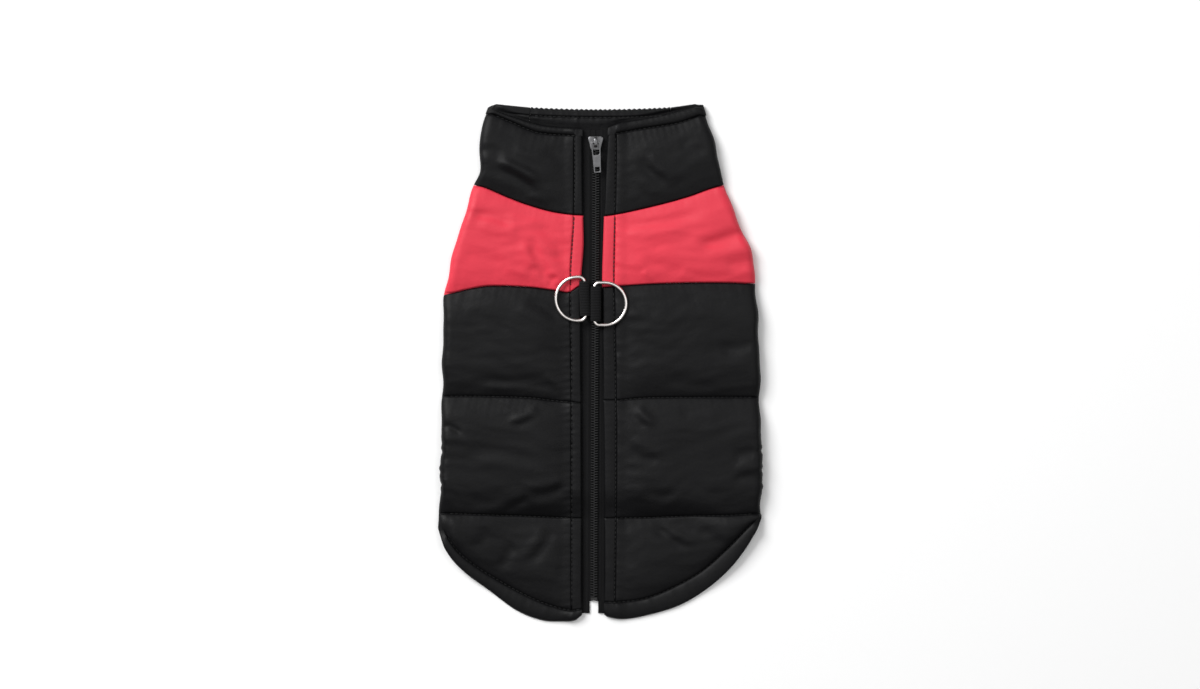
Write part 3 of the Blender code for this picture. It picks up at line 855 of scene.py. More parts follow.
def wrinkles(out: np.ndarray, y: np.ndarray, seed: float) -> np.ndarray:
    """Fine, mostly level wrinkles that come and go in patches, from about -1 to 1.

    Args:
        out: Distance from the middle.
        y: Place along the coat.
        seed: Number that sets the pattern.

    Returns:
        Height of the wrinkles.
    """
    total = np.zeros_like(out)
    for pitch, turn, weight in FINE_WRINKLES:
        angle = math.radians(turn + 4.0 * seed)
        bent = 2.4 * np.sin(out / 17.0 + seed * pitch) + 1.3 * np.sin(out / 7.3 + y / 21.0)
        step = out * math.cos(angle) + y * math.sin(angle) + bent
        swing = np.sin(y / (pitch * 1.9) + pitch * seed)
        patch = 0.5 + 0.9 * np.sin(out / (pitch * 2.3) + 3.0 * seed + pitch) * swing
        total += weight * np.clip(patch, 0.0, 1.0) * np.sin(2.0 * math.pi * step / pitch)
    return total


@dataclass(frozen=True)
class Unrest:
    """How far unevenness moves the cloth, in millimetres; for folds, a share of their own height."""

    folds: float = 0.80
    wrinkles: float = 0.24
    waves: float = 0.30
    seam_pull: float = 0.36
    zip_pull: float = 0.30
    stitch_pull: float = 0.7
    turned_edge: float = 0.27
    strip: float = 0.11


UNREST = Unrest()


@dataclass
class Panel:
    """A padded panel from the zip, round the side, to the belly seam."""

    name: str
    side: Side
    cells: tuple[Cell, ...]
    finish: Finish
    strip: tuple[float, ...] = tuple(spread(7.4, (0.15, 0.4, 0.8, 1.4, 2.2), 1.1, (0.3, 0.7, 1.2, 2.0)))
    field_marks: tuple[float, ...] = tuple(spread(84.0, (0.3, 0.7, 1.2, 2.0, 3.1), 1.45, (1.2,)))[1:]
    fold: tuple[float, ...] = tuple(math.radians(angle) for angle in range(75, -91, -15))
    lower: tuple[float, ...] = tuple((i + 1) / 10.0 for i in range(10))
    edge_roll: float = 1.3
    groove: float = 0.75
    valley: float = 0.3
    pit: float = 0.0
    liveliness: float = 1.0

    @property
    def seed(self) -> float:
        """Number that sets the pattern of small ripples, another on each side."""
        return 1.0 if self.side.sign < 0 else 2.6

    def columns(self) -> tuple[np.ndarray, np.ndarray]:
        """Kind (0 strip, 1 field, 2 fold, 3 lower) and value of every column.

        Returns:
            Kinds and values.
        """
        groups = (self.strip, self.field_marks, self.fold, self.lower)
        kinds = np.concatenate([np.full(len(group), kind) for kind, group in enumerate(groups)])
        return kinds, np.concatenate(groups)

    def rows(self) -> tuple[np.ndarray, np.ndarray]:
        """Cell index and part of the way down it of every row.

        Returns:
            Cell indices and parts.
        """
        index, parts = [], []
        for number, cell in enumerate(self.cells):
            marks = spread(cell.length, (0.15, 0.4, 0.8, 1.3, 2.0, 3.0), 1.2 if not cell.turned else 0.9)
            if cell.upper == "neck_seam":
                marks = self.band_marks(marks)
            marks = marks if number == 0 else marks[1:]
            index += [number] * len(marks)
            parts += marks
        return np.array(index), np.array(parts)

    def band_marks(self, marks: list[float]) -> list[float]:
        """Rows of the band, with the ends of the leg hole among them.

        Args:
            marks: Rows that the band would have without the hole, from 0 to 1.

        Returns:
            The rows, sorted.
        """
        upper = self.side.lines["neck_seam"].at_seam
        lower = self.side.lines["band_seam"].at_seam
        half = SHAPE.leg_hole_half[1]
        angles = (0, 6, 12, 18, 162, 168, 174, 180)
        near = [SHAPE.leg_hole_y + half * math.cos(math.radians(angle)) for angle in angles]
        wanted = [(upper - y) / (upper - lower) for y in near]
        kept = [m for m in marks if m in (0.0, 1.0) or all(abs(m - w) > 0.004 for w in wanted)]
        return sorted(kept + wanted)

    def line(self, cell: Cell, which: str) -> Line:
        """A cell's upper or lower line."""
        return self.side.lines[cell.upper if which == "upper" else cell.lower]

    def thickness(self, cell: Cell, out: np.ndarray, y: np.ndarray) -> np.ndarray:
        """Wall of the upper layer inside one cell.

        Args:
            cell: The cell.
            out: Distance from the middle.
            y: Place along the coat.

        Returns:
            Thickness in millimetres.
        """
        above = np.maximum(self.line(cell, "upper").top(out) - y, 0.0)
        below = np.maximum(y - self.line(cell, "lower").top(out), 0.0)
        gap = np.maximum(above + below, 1.0)
        near = np.minimum(above, below)
        reach = np.minimum(SHAPE.puff_reach, gap / 2.0)
        across = dome(near, reach) * np.minimum(1.0, gap / SHAPE.narrow_cell)
        stitch = self.side.zip_stitch(y)
        edge = self.side.zip_edge(y)
        seed = self.seed
        roll = self.rolled(cell, above, below, eased(-1.2, 0.3, out - stitch))
        on_field = eased(-0.6, 0.6, out - stitch)
        if cell.turned:
            ripple = UNREST.turned_edge * gathers(out * 1.2 + y * 0.4, seed + 3.0)
            ripple = ripple * np.clip(near / 2.0, 0.0, 1.0)
            crown = 4.0 * above * below / gap**2
            if cell.lower == "collar_stitch":
                crown = blended(1.0 - (below / gap) ** 2, crown, on_field)
            return SHAPE.seam_wall + SHAPE.hem_crown * crown + ripple - roll
        if cell.upper == "collar_stitch":
            across = blended(dome(below, SHAPE.puff_reach), across, on_field)
        part = np.clip((out - edge) / (stitch - edge), 0.0, 1.0)
        ripple = UNREST.strip * gathers(y, seed + 5.0) * np.sin(math.pi * part)
        ripple = ripple - 0.35 * self.pit * self.tugs(y) * part**2
        strip = SHAPE.strip_wall + SHAPE.strip_crown * 4.0 * part * (1.0 - part) * across + ripple
        strip = strip - 0.3 * (1.0 - across) - 0.9 * (1.0 - eased(0.0, 0.9, out - edge))
        strip = strip - self.pitted(y) * (1.0 - eased(0.0, 0.7, stitch - out))
        past = np.maximum(out - stitch, 0.0)
        padding = across * dome(past, SHAPE.puff_reach)
        loose = np.minimum(1.0, 1.6 * padding)
        folds = sum((crease.relief(out, y) for crease in self.side.creases), np.zeros_like(out))
        lively = UNREST.folds * folds + UNREST.wrinkles * wrinkles(out, y, seed)
        unrest = self.liveliness * lively + UNREST.waves * waves(out, y, seed)
        field = SHAPE.seam_wall + cell.rise * padding + loose * unrest
        pull = UNREST.seam_pull * gathers(out + 0.25 * y, seed) * np.exp(-near / 7.0) * eased(0.0, 1.5, near)
        start = eased(0.0, 1.2, past)
        pull_zip = UNREST.zip_pull * gathers(y + 0.2 * out, seed + 1.0) * np.exp(-past / 8.0) * start
        tug = -UNREST.stitch_pull * self.pit * self.tugs(y + 0.15 * past) * np.exp(-past / 5.0) * start
        field = field + pull / self.liveliness + pull_zip * self.liveliness + tug + 0.35
        field = field - (0.35 + self.pitted(y)) * (1.0 - eased(0.0, 0.8, past))
        thick = np.where(out <= stitch, strip, field) - roll
        return np.maximum(thick, 0.55)

    def pitted(self, y: np.ndarray) -> np.ndarray:
        """Depth of the groove beside the zip, deeper where each stitch pulls."""
        return self.groove + self.pit * self.tugs(y)

    def tugs(self, y: np.ndarray) -> np.ndarray:
        """Pull of the single stitches along the zip, from -1 to 1."""
        return np.sin(2.0 * math.pi * y / 4.8 + 0.7 * np.sin(y / 23.0))

    def rolled(self, cell: Cell, above: np.ndarray, below: np.ndarray, field_part: np.ndarray) -> np.ndarray:
        """How far the cloth rolls down at a cell's two lines.

        Args:
            cell: The cell.
            above: Distance below its upper line.
            below: Distance above its lower line.
            field_part: 0 on the strip beside the zip, 1 on the field.

        Returns:
            The drop in millimetres.
        """

        def at(name: str, distance: np.ndarray) -> np.ndarray:
            """Drop beside one line.

            Args:
                name: The line's name.
                distance: Distance from it.

            Returns:
                The drop in millimetres.
            """
            if "seam" in name or "edge" in name:
                return self.edge_roll * (1.0 - eased(0.0, 1.1, distance)) ** 2
            kept = field_part if name == "collar_stitch" else 1.0
            valley = self.valley * np.exp(-((distance / 1.7) ** 2)) * field_part
            return self.groove * (1.0 - eased(0.0, 0.9, distance)) * kept + valley

        return at(cell.upper, above) + at(cell.lower, below)

    def place(self, columns: np.ndarray, rows: np.ndarray) -> tuple[np.ndarray, np.ndarray]:
        """Outer and inner points of the panel at column and row indices.

        Args:
            columns: Column indices.
            rows: Row indices.

        Returns:
            Outer and inner points in millimetres.
        """
        kinds, values = self.columns()
        cell_index, parts = self.rows()
        kind, value, number, part = kinds[columns], values[columns], cell_index[rows], parts[rows]
        outer = np.zeros((len(columns), 3))
        inner = np.zeros((len(columns), 3))
        last = len(parts) - 1
        groups = ((kind < 2, self.top_points), (kind == 2, self.fold_points), (kind == 3, self.low_points))
        for index, cell in enumerate(self.cells):
            shift = np.zeros(len(columns))
            if index == 0 and "seam" in cell.upper:
                shift[rows == 0] = -SHAPE.seam_gap / 2.0
            if index == len(self.cells) - 1 and "seam" in cell.lower:
                shift[rows == last] = SHAPE.seam_gap / 2.0
            for group, method in groups:
                chosen = group & (number == index)
                if chosen.any():
                    made = method(cell, kind[chosen], value[chosen], part[chosen], shift[chosen])
                    outer[chosen], inner[chosen] = made
        return outer, inner

    def y_at(self, cell: Cell, part: np.ndarray, out: np.ndarray, shift: np.ndarray) -> np.ndarray:
        """Y of a row at a distance from the middle."""
        return blended(self.line(cell, "upper").top(out), self.line(cell, "lower").top(out), part) + shift

    def top_points(
        self, cell: Cell, kind: np.ndarray, value: np.ndarray, part: np.ndarray, shift: np.ndarray
    ) -> tuple[np.ndarray, np.ndarray]:
        """Points of the upper layer.

        Args:
            cell: The cell.
            kind: Kind of each column.
            value: Value of each column.
            part: Part of the way down the cell.
            shift: Shift along the coat that opens a seam.

        Returns:
            Outer and inner points in millimetres.
        """
        y = self.y_at(cell, part, np.full(len(value), 60.0), shift)
        for _ in range(SETTLING_ROUNDS):
            stitch = self.side.zip_stitch(y)
            strip_out = blended(self.side.zip_edge(y), stitch, value)
            field_out = blended(stitch, SHAPE.corner(self.side, y), value)
            out = np.where(kind == 0, strip_out, field_out)
            y = self.y_at(cell, part, out, shift)
        x = self.side.sign * out
        floor = SHAPE.floor(self.side, x, y) + SHAPE.over_tape(x, y)
        thick = self.thickness(cell, out, y)
        return np.stack([x, y, floor + thick], 1), np.stack([x, y, floor], 1)

    def fold_points(
        self, cell: Cell, kind: np.ndarray, angle: np.ndarray, part: np.ndarray, shift: np.ndarray
    ) -> tuple[np.ndarray, np.ndarray]:
        """Points of the fold round the side.

        Args:
            cell: The cell.
            kind: Kind of each column; not used.
            angle: Angle round the fold, in radians: 0 at its outermost, positive above.
            part: Part of the way down the cell.
            shift: Shift along the coat that opens a seam.

        Returns:
            Outer and inner points in millimetres.
        """
        at_fold = blended(self.line(cell, "upper").at_fold, self.line(cell, "lower").at_fold, part) + shift
        above = np.where(angle > 0.0, np.cos(angle), 1.0)
        y = at_fold.copy()
        for _ in range(SETTLING_ROUNDS):
            start = SHAPE.corner(self.side, y)
            y = self.y_at(cell, part, start + SHAPE.fold_radius * above, shift)
        inner_y = self.y_at(cell, part, start + SHAPE.fold_hollow * above, shift)
        below = eased(0.0, math.pi / 2.0, -angle)
        height = SHAPE.upper_floor + self.thickness(cell, start, y)
        start = blended(start, SHAPE.corner(self.side, at_fold), below)
        seed = self.seed
        puckered = eased(-96.0, -84.0, y) * (1.0 - eased(-58.0, -44.0, y))
        dent = 0.4 * np.sin(y / 6.1 + seed) + 0.3 * np.sin(y / 3.9 + 2.0 * seed)
        dent = dent + 0.6 * puckered * gathers(y, seed)
        out = start + (SHAPE.fold_radius + (0.0 if cell.turned else 1.0) * (dent - 0.3)) * np.cos(angle)
        outer_z = np.maximum(0.0, height / 2.0 * (1.0 + np.sin(angle)))
        inner_z = SHAPE.lower_wall + SHAPE.slit / 2.0 * (1.0 + np.sin(angle))
        outer = np.stack([self.side.sign * out, blended(y, at_fold, below), outer_z], 1)
        inner_out = start + SHAPE.fold_hollow * np.cos(angle)
        return outer, np.stack([self.side.sign * inner_out, blended(inner_y, at_fold, below), inner_z], 1)

    def low_points(
        self, cell: Cell, kind: np.ndarray, value: np.ndarray, part: np.ndarray, shift: np.ndarray
    ) -> tuple[np.ndarray, np.ndarray]:
        """Points of the lower layer between the fold and the belly seam, flat on the surface.

        Args:
            cell: The cell.
            kind: Kind of each column; not used.
            value: Value of each column.
            part: Part of the way down the cell.
            shift: Shift along the coat that opens a seam.

        Returns:
            Outer and inner points in millimetres.
        """
        at_fold = blended(self.line(cell, "upper").at_fold, self.line(cell, "lower").at_fold, part) + shift
        at_seam = blended(self.line(cell, "upper").at_seam, self.line(cell, "lower").at_seam, part) + shift
        start = SHAPE.corner(self.side, at_fold)
        end = SHAPE.belly_seam(at_seam) + SHAPE.leg_hole(at_seam) + SHAPE.seam_gap / 2.0
        x = self.side.sign * blended(start, end, value)
        y = blended(at_fold, at_seam, value)
        flat = np.zeros_like(x)
        top = flat + SHAPE.lower_wall
        if self.cells[0].upper == "collar_edge":
            edge = self.line(self.cells[0], "upper")
            top += SHAPE.far_rim(x, y, blended(edge.at_fold, edge.at_seam, value) - y, self.side)
        return np.stack([x, y, flat], 1), np.stack([x, y, top], 1)

    def build(self) -> bpy.types.Object:
        """Build the panel and put it in its node's place.

        Returns:
            The piece.
        """
        kinds, _ = self.columns()
        _, parts = self.rows()
        bm = walled(len(kinds), len(parts), self.place)
        piece = finished(self.name + "_cloth", bm, [self.finish], 60.0)
        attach(piece, "coat")
        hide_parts(self.name)
        return piece


LEFT = Side(
    "left",
    -1,
    Profile(
        (
            (-115.5, 113.6), (-89.0, 112.4), (-61.0, 111.7), (-26.0, 111.0), (16.0, 110.3), (44.0, 109.6),
            (58.0, 107.5), (79.0, 102.6), (100.0, 96.3), (124.0, 88.6), (134.0, 85.0), (156.0, 84.4),
            (170.0, 81.6), (178.5, 78.8),
        )
    ),
    Profile(((-166.0, 12.9), (-96.0, 12.9), (58.0, 13.4), (82.6, 11.8), (103.0, 12.2), (164.0, 12.6))),
    Profile(((-160.0, 20.3), (-15.0, 20.3), (61.6, 21.0), (103.6, 18.6), (164.0, 18.2))),
    {
        "collar_edge": Line(
            Profile(((12.6, 163.6), (16.5, 163.8), (42.4, 166.6), (63.4, 172.9), (78.8, 178.5))), 180.9, 178.5
        ),
        "collar_stitch": Line(
            Profile(((12.6, 158.2), (23.5, 158.9), (44.5, 161.0), (60.5, 167.3), (76.0, 174.0))), 175.5, 173.5
        ),
        "neck_seam": Line(
            Profile(
                (
                    (12.6, 103.0), (20.0, 103.4), (35.4, 105.9), (52.9, 111.0), (64.3, 115.3), (80.5, 122.2),
                    (88.0, 124.4),
                )
            ),
            124.4,
            124.0,
        ),
        "band_seam": Line(
            Profile(
                (
                    (13.6, 54.2), (16.3, 52.9), (19.6, 50.6), (23.2, 49.3), (28.0, 50.1), (35.4, 51.2),
                    (49.4, 52.9), (76.0, 53.9), (88.0, 52.4), (103.2, 48.9), (109.2, 47.4),
                )
            ),
            47.4,
            46.5,
        ),
        "quilt_1": Line(
            Profile(((13.6, -28.0), (35.4, -25.9), (49.4, -24.2), (84.4, -23.1), (108.9, -23.1))),
            -23.1,
            -23.1,
        ),
        "quilt_2": Line(
            Profile(((20.0, -108.5), (49.4, -107.1), (76.0, -106.1), (111.0, -104.7))), -101.0, -84.0
        ),
        "hem_stitch": Line(
            Profile(
                (
                    (13.0, -172.0), (21.4, -172.9), (35.4, -169.4), (49.4, -163.8), (69.0, -153.3),
                    (87.9, -141.4), (100.5, -130.5), (108.0, -119.5), (113.6, -110.5),
                )
            ),
            -105.0,
            -88.0,
        ),
        "hem_edge": Line(
            Profile(
                (
                    (13.0, -176.3), (17.9, -180.0), (27.0, -180.9), (41.0, -180.0), (59.0, -173.0),
                    (78.0, -159.0), (96.3, -145.0), (108.0, -131.0), (113.6, -115.5),
                )
            ),
            -109.0,
            -92.0,
        ),
    },
    (
        Crease((86.0, 148.0), (68.0, 145.0), -1.1, 3.6, 1.5),
        Crease((70.0, 141.0), (41.0, 125.0), 2.4, 3.8, 2.0, -0.3),
        Crease((74.0, 136.0), (45.0, 119.0), -0.9, 3.0, 1.5),
        Crease((60.0, 150.0), (38.0, 144.0), 0.7, 4.2, -2.0),
        Crease((36.0, 150.0), (24.0, 132.0), -0.6, 3.4, 1.0),
        Crease((52.0, 116.0), (34.0, 111.0), 0.7, 2.4, 1.0),
        Crease((88.0, 104.0), (62.0, 96.0), -1.6, 4.0, 2.0),
        Crease((84.0, 97.0), (58.0, 90.0), 0.9, 4.4, 2.0),
        Crease((49.0, 85.0), (32.0, 55.0), -1.5, 3.8, -2.0, 0.3),
        Crease((44.0, 99.0), (22.5, 66.0), -1.5, 5.2, 2.5),
        Crease((50.0, 66.0), (33.0, 53.5), -1.3, 3.0, 1.5, 0.3),
        Crease((54.0, 84.0), (38.0, 58.0), 0.9, 3.6, -2.0),
        Crease((39.0, 62.0), (22.0, 58.0), 1.2, 2.8, 1.0),
        Crease((40.0, 56.5), (24.0, 56.0), 0.8, 1.8, 0.5),
        Crease((31.0, 51.0), (23.5, 58.0), -1.9, 1.5, 0.4),
        Crease((36.0, 51.5), (30.0, 61.0), -1.4, 1.7, 0.6, 0.3),
        Crease((96.0, 74.0), (66.0, 70.0), -0.9, 4.0, 1.5),
        Crease((66.0, 66.0), (50.0, 60.0), 0.7, 2.6, 1.0),
        Crease((50.0, 44.0), (28.0, 30.0), -1.5, 4.2, 2.0),
        Crease((60.0, 38.0), (34.0, 24.0), 0.7, 4.0, 2.0),
        Crease((90.0, 34.0), (64.0, 22.0), -0.7, 4.4, 2.0),
        Crease((96.0, 8.0), (58.0, 2.0), -0.6, 5.0, -2.0),
        Crease((44.0, 10.0), (24.0, 2.0), -0.7, 3.2, 1.5),
        Crease((88.0, -12.0), (30.0, -16.0), -1.2, 3.6, 1.5),
        Crease((80.0, -17.5), (44.0, -19.5), 0.8, 2.4, 1.0),
        Crease((38.0, -8.0), (26.0, -22.0), 0.9, 2.6, 1.0),
        Crease((44.0, -31.0), (64.0, -40.0), 1.7, 3.0, 1.5, 0.3),
        Crease((46.0, -36.0), (62.0, -44.0), -0.9, 2.6, 1.5),
        Crease((110.0, -43.0), (97.0, -49.0), -1.4, 1.9, 1.0),
        Crease((108.0, -52.0), (88.0, -57.0), 0.9, 3.2, 1.5),
        Crease((92.0, -62.0), (44.0, -70.0), -1.1, 4.0, 2.5),
        Crease((86.0, -69.0), (40.0, -76.0), 0.7, 4.2, 2.5),
        Crease((24.0, -87.0), (50.0, -93.0), -2.1, 3.4, 1.5),
        Crease((50.0, -93.0), (68.0, -103.0), -1.9, 3.2, 1.5),
        Crease((26.0, -81.0), (54.0, -86.0), 1.0, 3.2, 1.5),
        Crease((66.0, -92.0), (92.0, -98.0), -0.8, 4.0, 1.5),
        Crease((62.0, -126.0), (71.0, -144.0), -1.6, 3.6, 1.5),
        Crease((34.0, -117.0), (50.0, -139.0), -1.5, 3.6, 2.0),
        Crease((40.0, -115.0), (56.0, -137.0), 0.8, 3.4, 2.0),
        Crease((78.0, -116.0), (88.0, -130.0), -0.8, 3.6, 1.0),
        Crease((24.0, -128.0), (30.0, -156.0), -0.6, 3.6, 1.0),
    ),
)
RIGHT = Side(
    "right",
    1,
    Profile(
        (
            (-108.0, 112.7), (-96.0, 112.4), (-68.0, 113.6), (-40.0, 111.7), (-5.0, 111.7), (27.0, 110.3),
            (51.0, 108.9), (65.0, 107.5), (79.0, 105.4), (93.0, 99.0), (107.0, 92.8), (125.0, 86.8),
            (142.0, 82.3), (156.0, 79.5), (167.0, 76.0), (180.6, 71.8),
        )
    ),
    Profile(
        ((-166.0, 2.5), (-96.0, 2.5), (56.7, 1.2), (82.6, 1.8), (103.0, 2.5), (135.0, 3.6), (164.0, 5.2))
    ),
    Profile(((-160.0, 10.2), (-96.0, 10.9), (-26.0, 10.9), (57.0, 9.5), (103.0, 10.2), (164.0, 11.0))),
    {
        "collar_edge": Line(
            Profile(((3.9, 164.3), (15.0, 168.0), (34.6, 171.5), (62.7, 177.8), (71.8, 180.6))), 180.9, 178.5
        ),
        "collar_stitch": Line(
            Profile(((3.9, 158.5), (9.5, 159.6), (27.0, 163.1), (54.3, 167.6), (70.0, 173.0))), 174.0, 173.5
        ),
        "neck_seam": Line(
            Profile(
                ((2.5, 102.4), (12.4, 103.9), (38.9, 109.9), (61.0, 115.9), (75.7, 121.2), (86.8, 124.4))
            ),
            124.4,
            124.0,
        ),
        "band_seam": Line(
            Profile(((1.0, 52.9), (15.0, 53.9), (38.2, 55.3), (64.0, 56.0), (90.7, 56.0), (102.0, 55.5))),
            55.5,
            46.5,
        ),
        "quilt_1": Line(Profile(((12.3, -25.9), (34.7, -24.2), (109.6, -23.8))), -23.8, -23.1),
        "quilt_2": Line(
            Profile(((3.2, -108.5), (29.1, -108.2), (55.7, -107.1), (90.7, -106.2), (111.7, -104.8))),
            -100.0,
            -84.0,
        ),
        "hem_stitch": Line(
            Profile(
                (
                    (2.5, -167.0), (10.2, -167.3), (29.0, -165.2), (46.6, -158.9), (69.7, -146.3),
                    (87.2, -130.9), (104.0, -113.6), (112.7, -106.2),
                )
            ),
            -102.6,
            -88.0,
        ),
        "hem_edge": Line(
            Profile(
                (
                    (2.5, -176.0), (5.0, -177.6), (17.2, -179.2), (36.0, -175.7), (55.7, -169.4),
                    (73.2, -159.0), (89.3, -145.0), (100.5, -131.0), (108.9, -117.0), (112.7, -107.8),
                )
            ),
            -105.2,
            -92.0,
        ),
    },
    (
        Crease((28.0, 140.0), (47.0, 124.0), -1.7, 3.8, 1.5),
        Crease((34.0, 144.0), (54.0, 128.0), 0.9, 3.8, 1.5),
        Crease((20.0, 128.0), (34.0, 114.0), -0.7, 3.2, 1.0),
        Crease((56.0, 152.0), (74.0, 148.0), -0.8, 3.6, 1.0),
        Crease((12.0, 97.0), (70.0, 104.0), -1.1, 3.8, 2.0),
        Crease((16.0, 90.0), (62.0, 97.0), 0.7, 3.8, 2.0),
        Crease((34.0, 82.0), (66.0, 88.0), -0.7, 3.8, 1.5),
        Crease((70.0, 82.0), (103.0, 93.0), -1.8, 4.0, 2.0),
        Crease((74.0, 76.0), (105.0, 84.0), 0.9, 4.0, 2.0),
        Crease((88.0, 68.0), (106.0, 72.0), -1.0, 3.2, 1.0),
        Crease((30.0, 72.0), (58.0, 66.0), -0.9, 3.8, 1.5),
        Crease((30.0, 64.0), (36.0, 57.0), 0.8, 2.2, 0.5),
        Crease((56.0, 63.0), (64.0, 58.0), 0.7, 2.2, 0.5),
        Crease((22.0, 44.0), (40.0, 34.0), -0.8, 3.6, 1.5),
        Crease((60.0, 46.0), (88.0, 40.0), -0.6, 4.2, 1.5),
        Crease((16.0, 24.0), (36.0, 12.0), -0.6, 4.0, 1.5),
        Crease((84.0, 10.0), (108.0, 14.0), -1.4, 4.0, 1.5),
        Crease((80.0, 3.0), (106.0, 5.0), 0.7, 4.0, 1.5),
        Crease((46.0, -10.0), (80.0, -16.0), -0.7, 3.6, 1.5),
        Crease((26.0, -30.0), (38.0, -42.0), 1.6, 2.8, 1.0, 0.3),
        Crease((20.0, -34.0), (32.0, -46.0), -0.8, 2.6, 1.0),
        Crease((56.0, -34.0), (76.0, -40.0), -0.7, 3.4, 1.5),
        Crease((20.0, -61.0), (40.0, -68.0), -1.2, 3.8, 1.5),
        Crease((22.0, -54.0), (44.0, -62.0), 0.7, 3.6, 1.5),
        Crease((108.0, -62.0), (92.0, -66.0), -1.5, 3.6, 1.0),
        Crease((110.0, -72.0), (94.0, -74.0), 0.8, 3.2, 1.0),
        Crease((110.0, -80.0), (92.0, -82.0), -1.1, 3.2, 1.0),
        Crease((30.0, -88.0), (52.0, -92.0), -1.3, 3.8, 1.5),
        Crease((64.0, -84.0), (86.0, -92.0), -0.7, 4.0, 1.5),
        Crease((38.0, -114.0), (61.0, -129.0), -1.7, 3.6, 1.5),
        Crease((44.0, -112.0), (66.0, -126.0), 0.9, 3.4, 1.5),
        Crease((70.0, -116.0), (86.0, -124.0), -0.8, 3.6, 1.0),
        Crease((16.0, -126.0), (30.0, -146.0), -0.6, 4.0, 1.5),
    ),
)


@dataclass
class BellyPanel:
    """The lower layer's middle piece; its throat edge shows behind the near collar."""

    name: str = "belly_panel"
    across: int = 113
    scallop: float = 3.4
    scallop_depth: float = 0.42
    bowed_from: Pair = (124.0, -20.0)
    thinnest: float = 0.8
    hole_angles: tuple[int, ...] = (0, 6, 12, 18, 30, 45, 60, 75, 90, 105, 120, 135, 150, 162, 168, 174, 180)

    def levels(self) -> np.ndarray:
        """Rows down the panel, named by the y of its side seam.

        Returns:
            Y of the rows.
        """
        rim = [178.5 - 0.5 * i for i in range(15)]
        collar = [170.0, 168.0, 165.5, 162.5, 158.0, 150.0, 142.0, 133.0, 124.0, 115.0]
        half = SHAPE.leg_hole_half[1]
        hole = [SHAPE.leg_hole_y + half * math.cos(math.radians(angle)) for angle in self.hole_angles]
        body = [46.5, 30.0, 10.0, -10.0, -30.0, -50.0, -66.0, -78.0, -86.0, -92.0]
        return np.array([*rim, *collar, *hole, *body])

    def place(self, columns: np.ndarray, rows: np.ndarray) -> tuple[np.ndarray, np.ndarray]:
        """Outer (resting) and inner (facing up) points.

        Args:
            columns: Column indices.
            rows: Row indices.

        Returns:
            Outer and inner points in millimetres.
        """
        level = self.levels()[rows]
        half = SHAPE.belly_seam(level) - SHAPE.leg_hole(level) - SHAPE.seam_gap / 2.0
        t = 2.0 * columns / (self.across - 1) - 1.0
        x = half * t
        bow = 1.0 - t * t
        rise = SHAPE.throat_middle - SHAPE.throat_seam
        throat = rise * bow * eased(self.bowed_from[0], SHAPE.throat_seam, level)
        hem = (SHAPE.hem_middle - SHAPE.hem_seam) * bow * eased(self.bowed_from[1], SHAPE.hem_seam, level)
        below = SHAPE.throat_seam - level
        gathered = self.scallop_depth * np.cos(2.0 * math.pi * x / self.scallop + 0.8 * np.sin(x / 9.0))
        y = level + throat + hem + gathered * (1.0 - eased(0.0, 3.0, below))
        rim = np.where(x < 0.0, SHAPE.far_rim(x, y, below, LEFT), SHAPE.far_rim(x, y, below, RIGHT))
        top = SHAPE.lower_wall + rim
        flat = np.zeros_like(x)
        return np.stack([x, y, flat], 1), np.stack([x, y, np.maximum(top, self.thinnest)], 1)

    def build(self) -> bpy.types.Object:
        """Build the panel and put it in its node's place.

        Returns:
            The piece.
        """
        bm = walled(self.across, len(self.levels()), self.place)
        piece = finished("belly_panel_cloth", bm, [Finish.BLACK_SHELL], 60.0)
        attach(piece, "coat")
        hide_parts(self.name)
        return piece


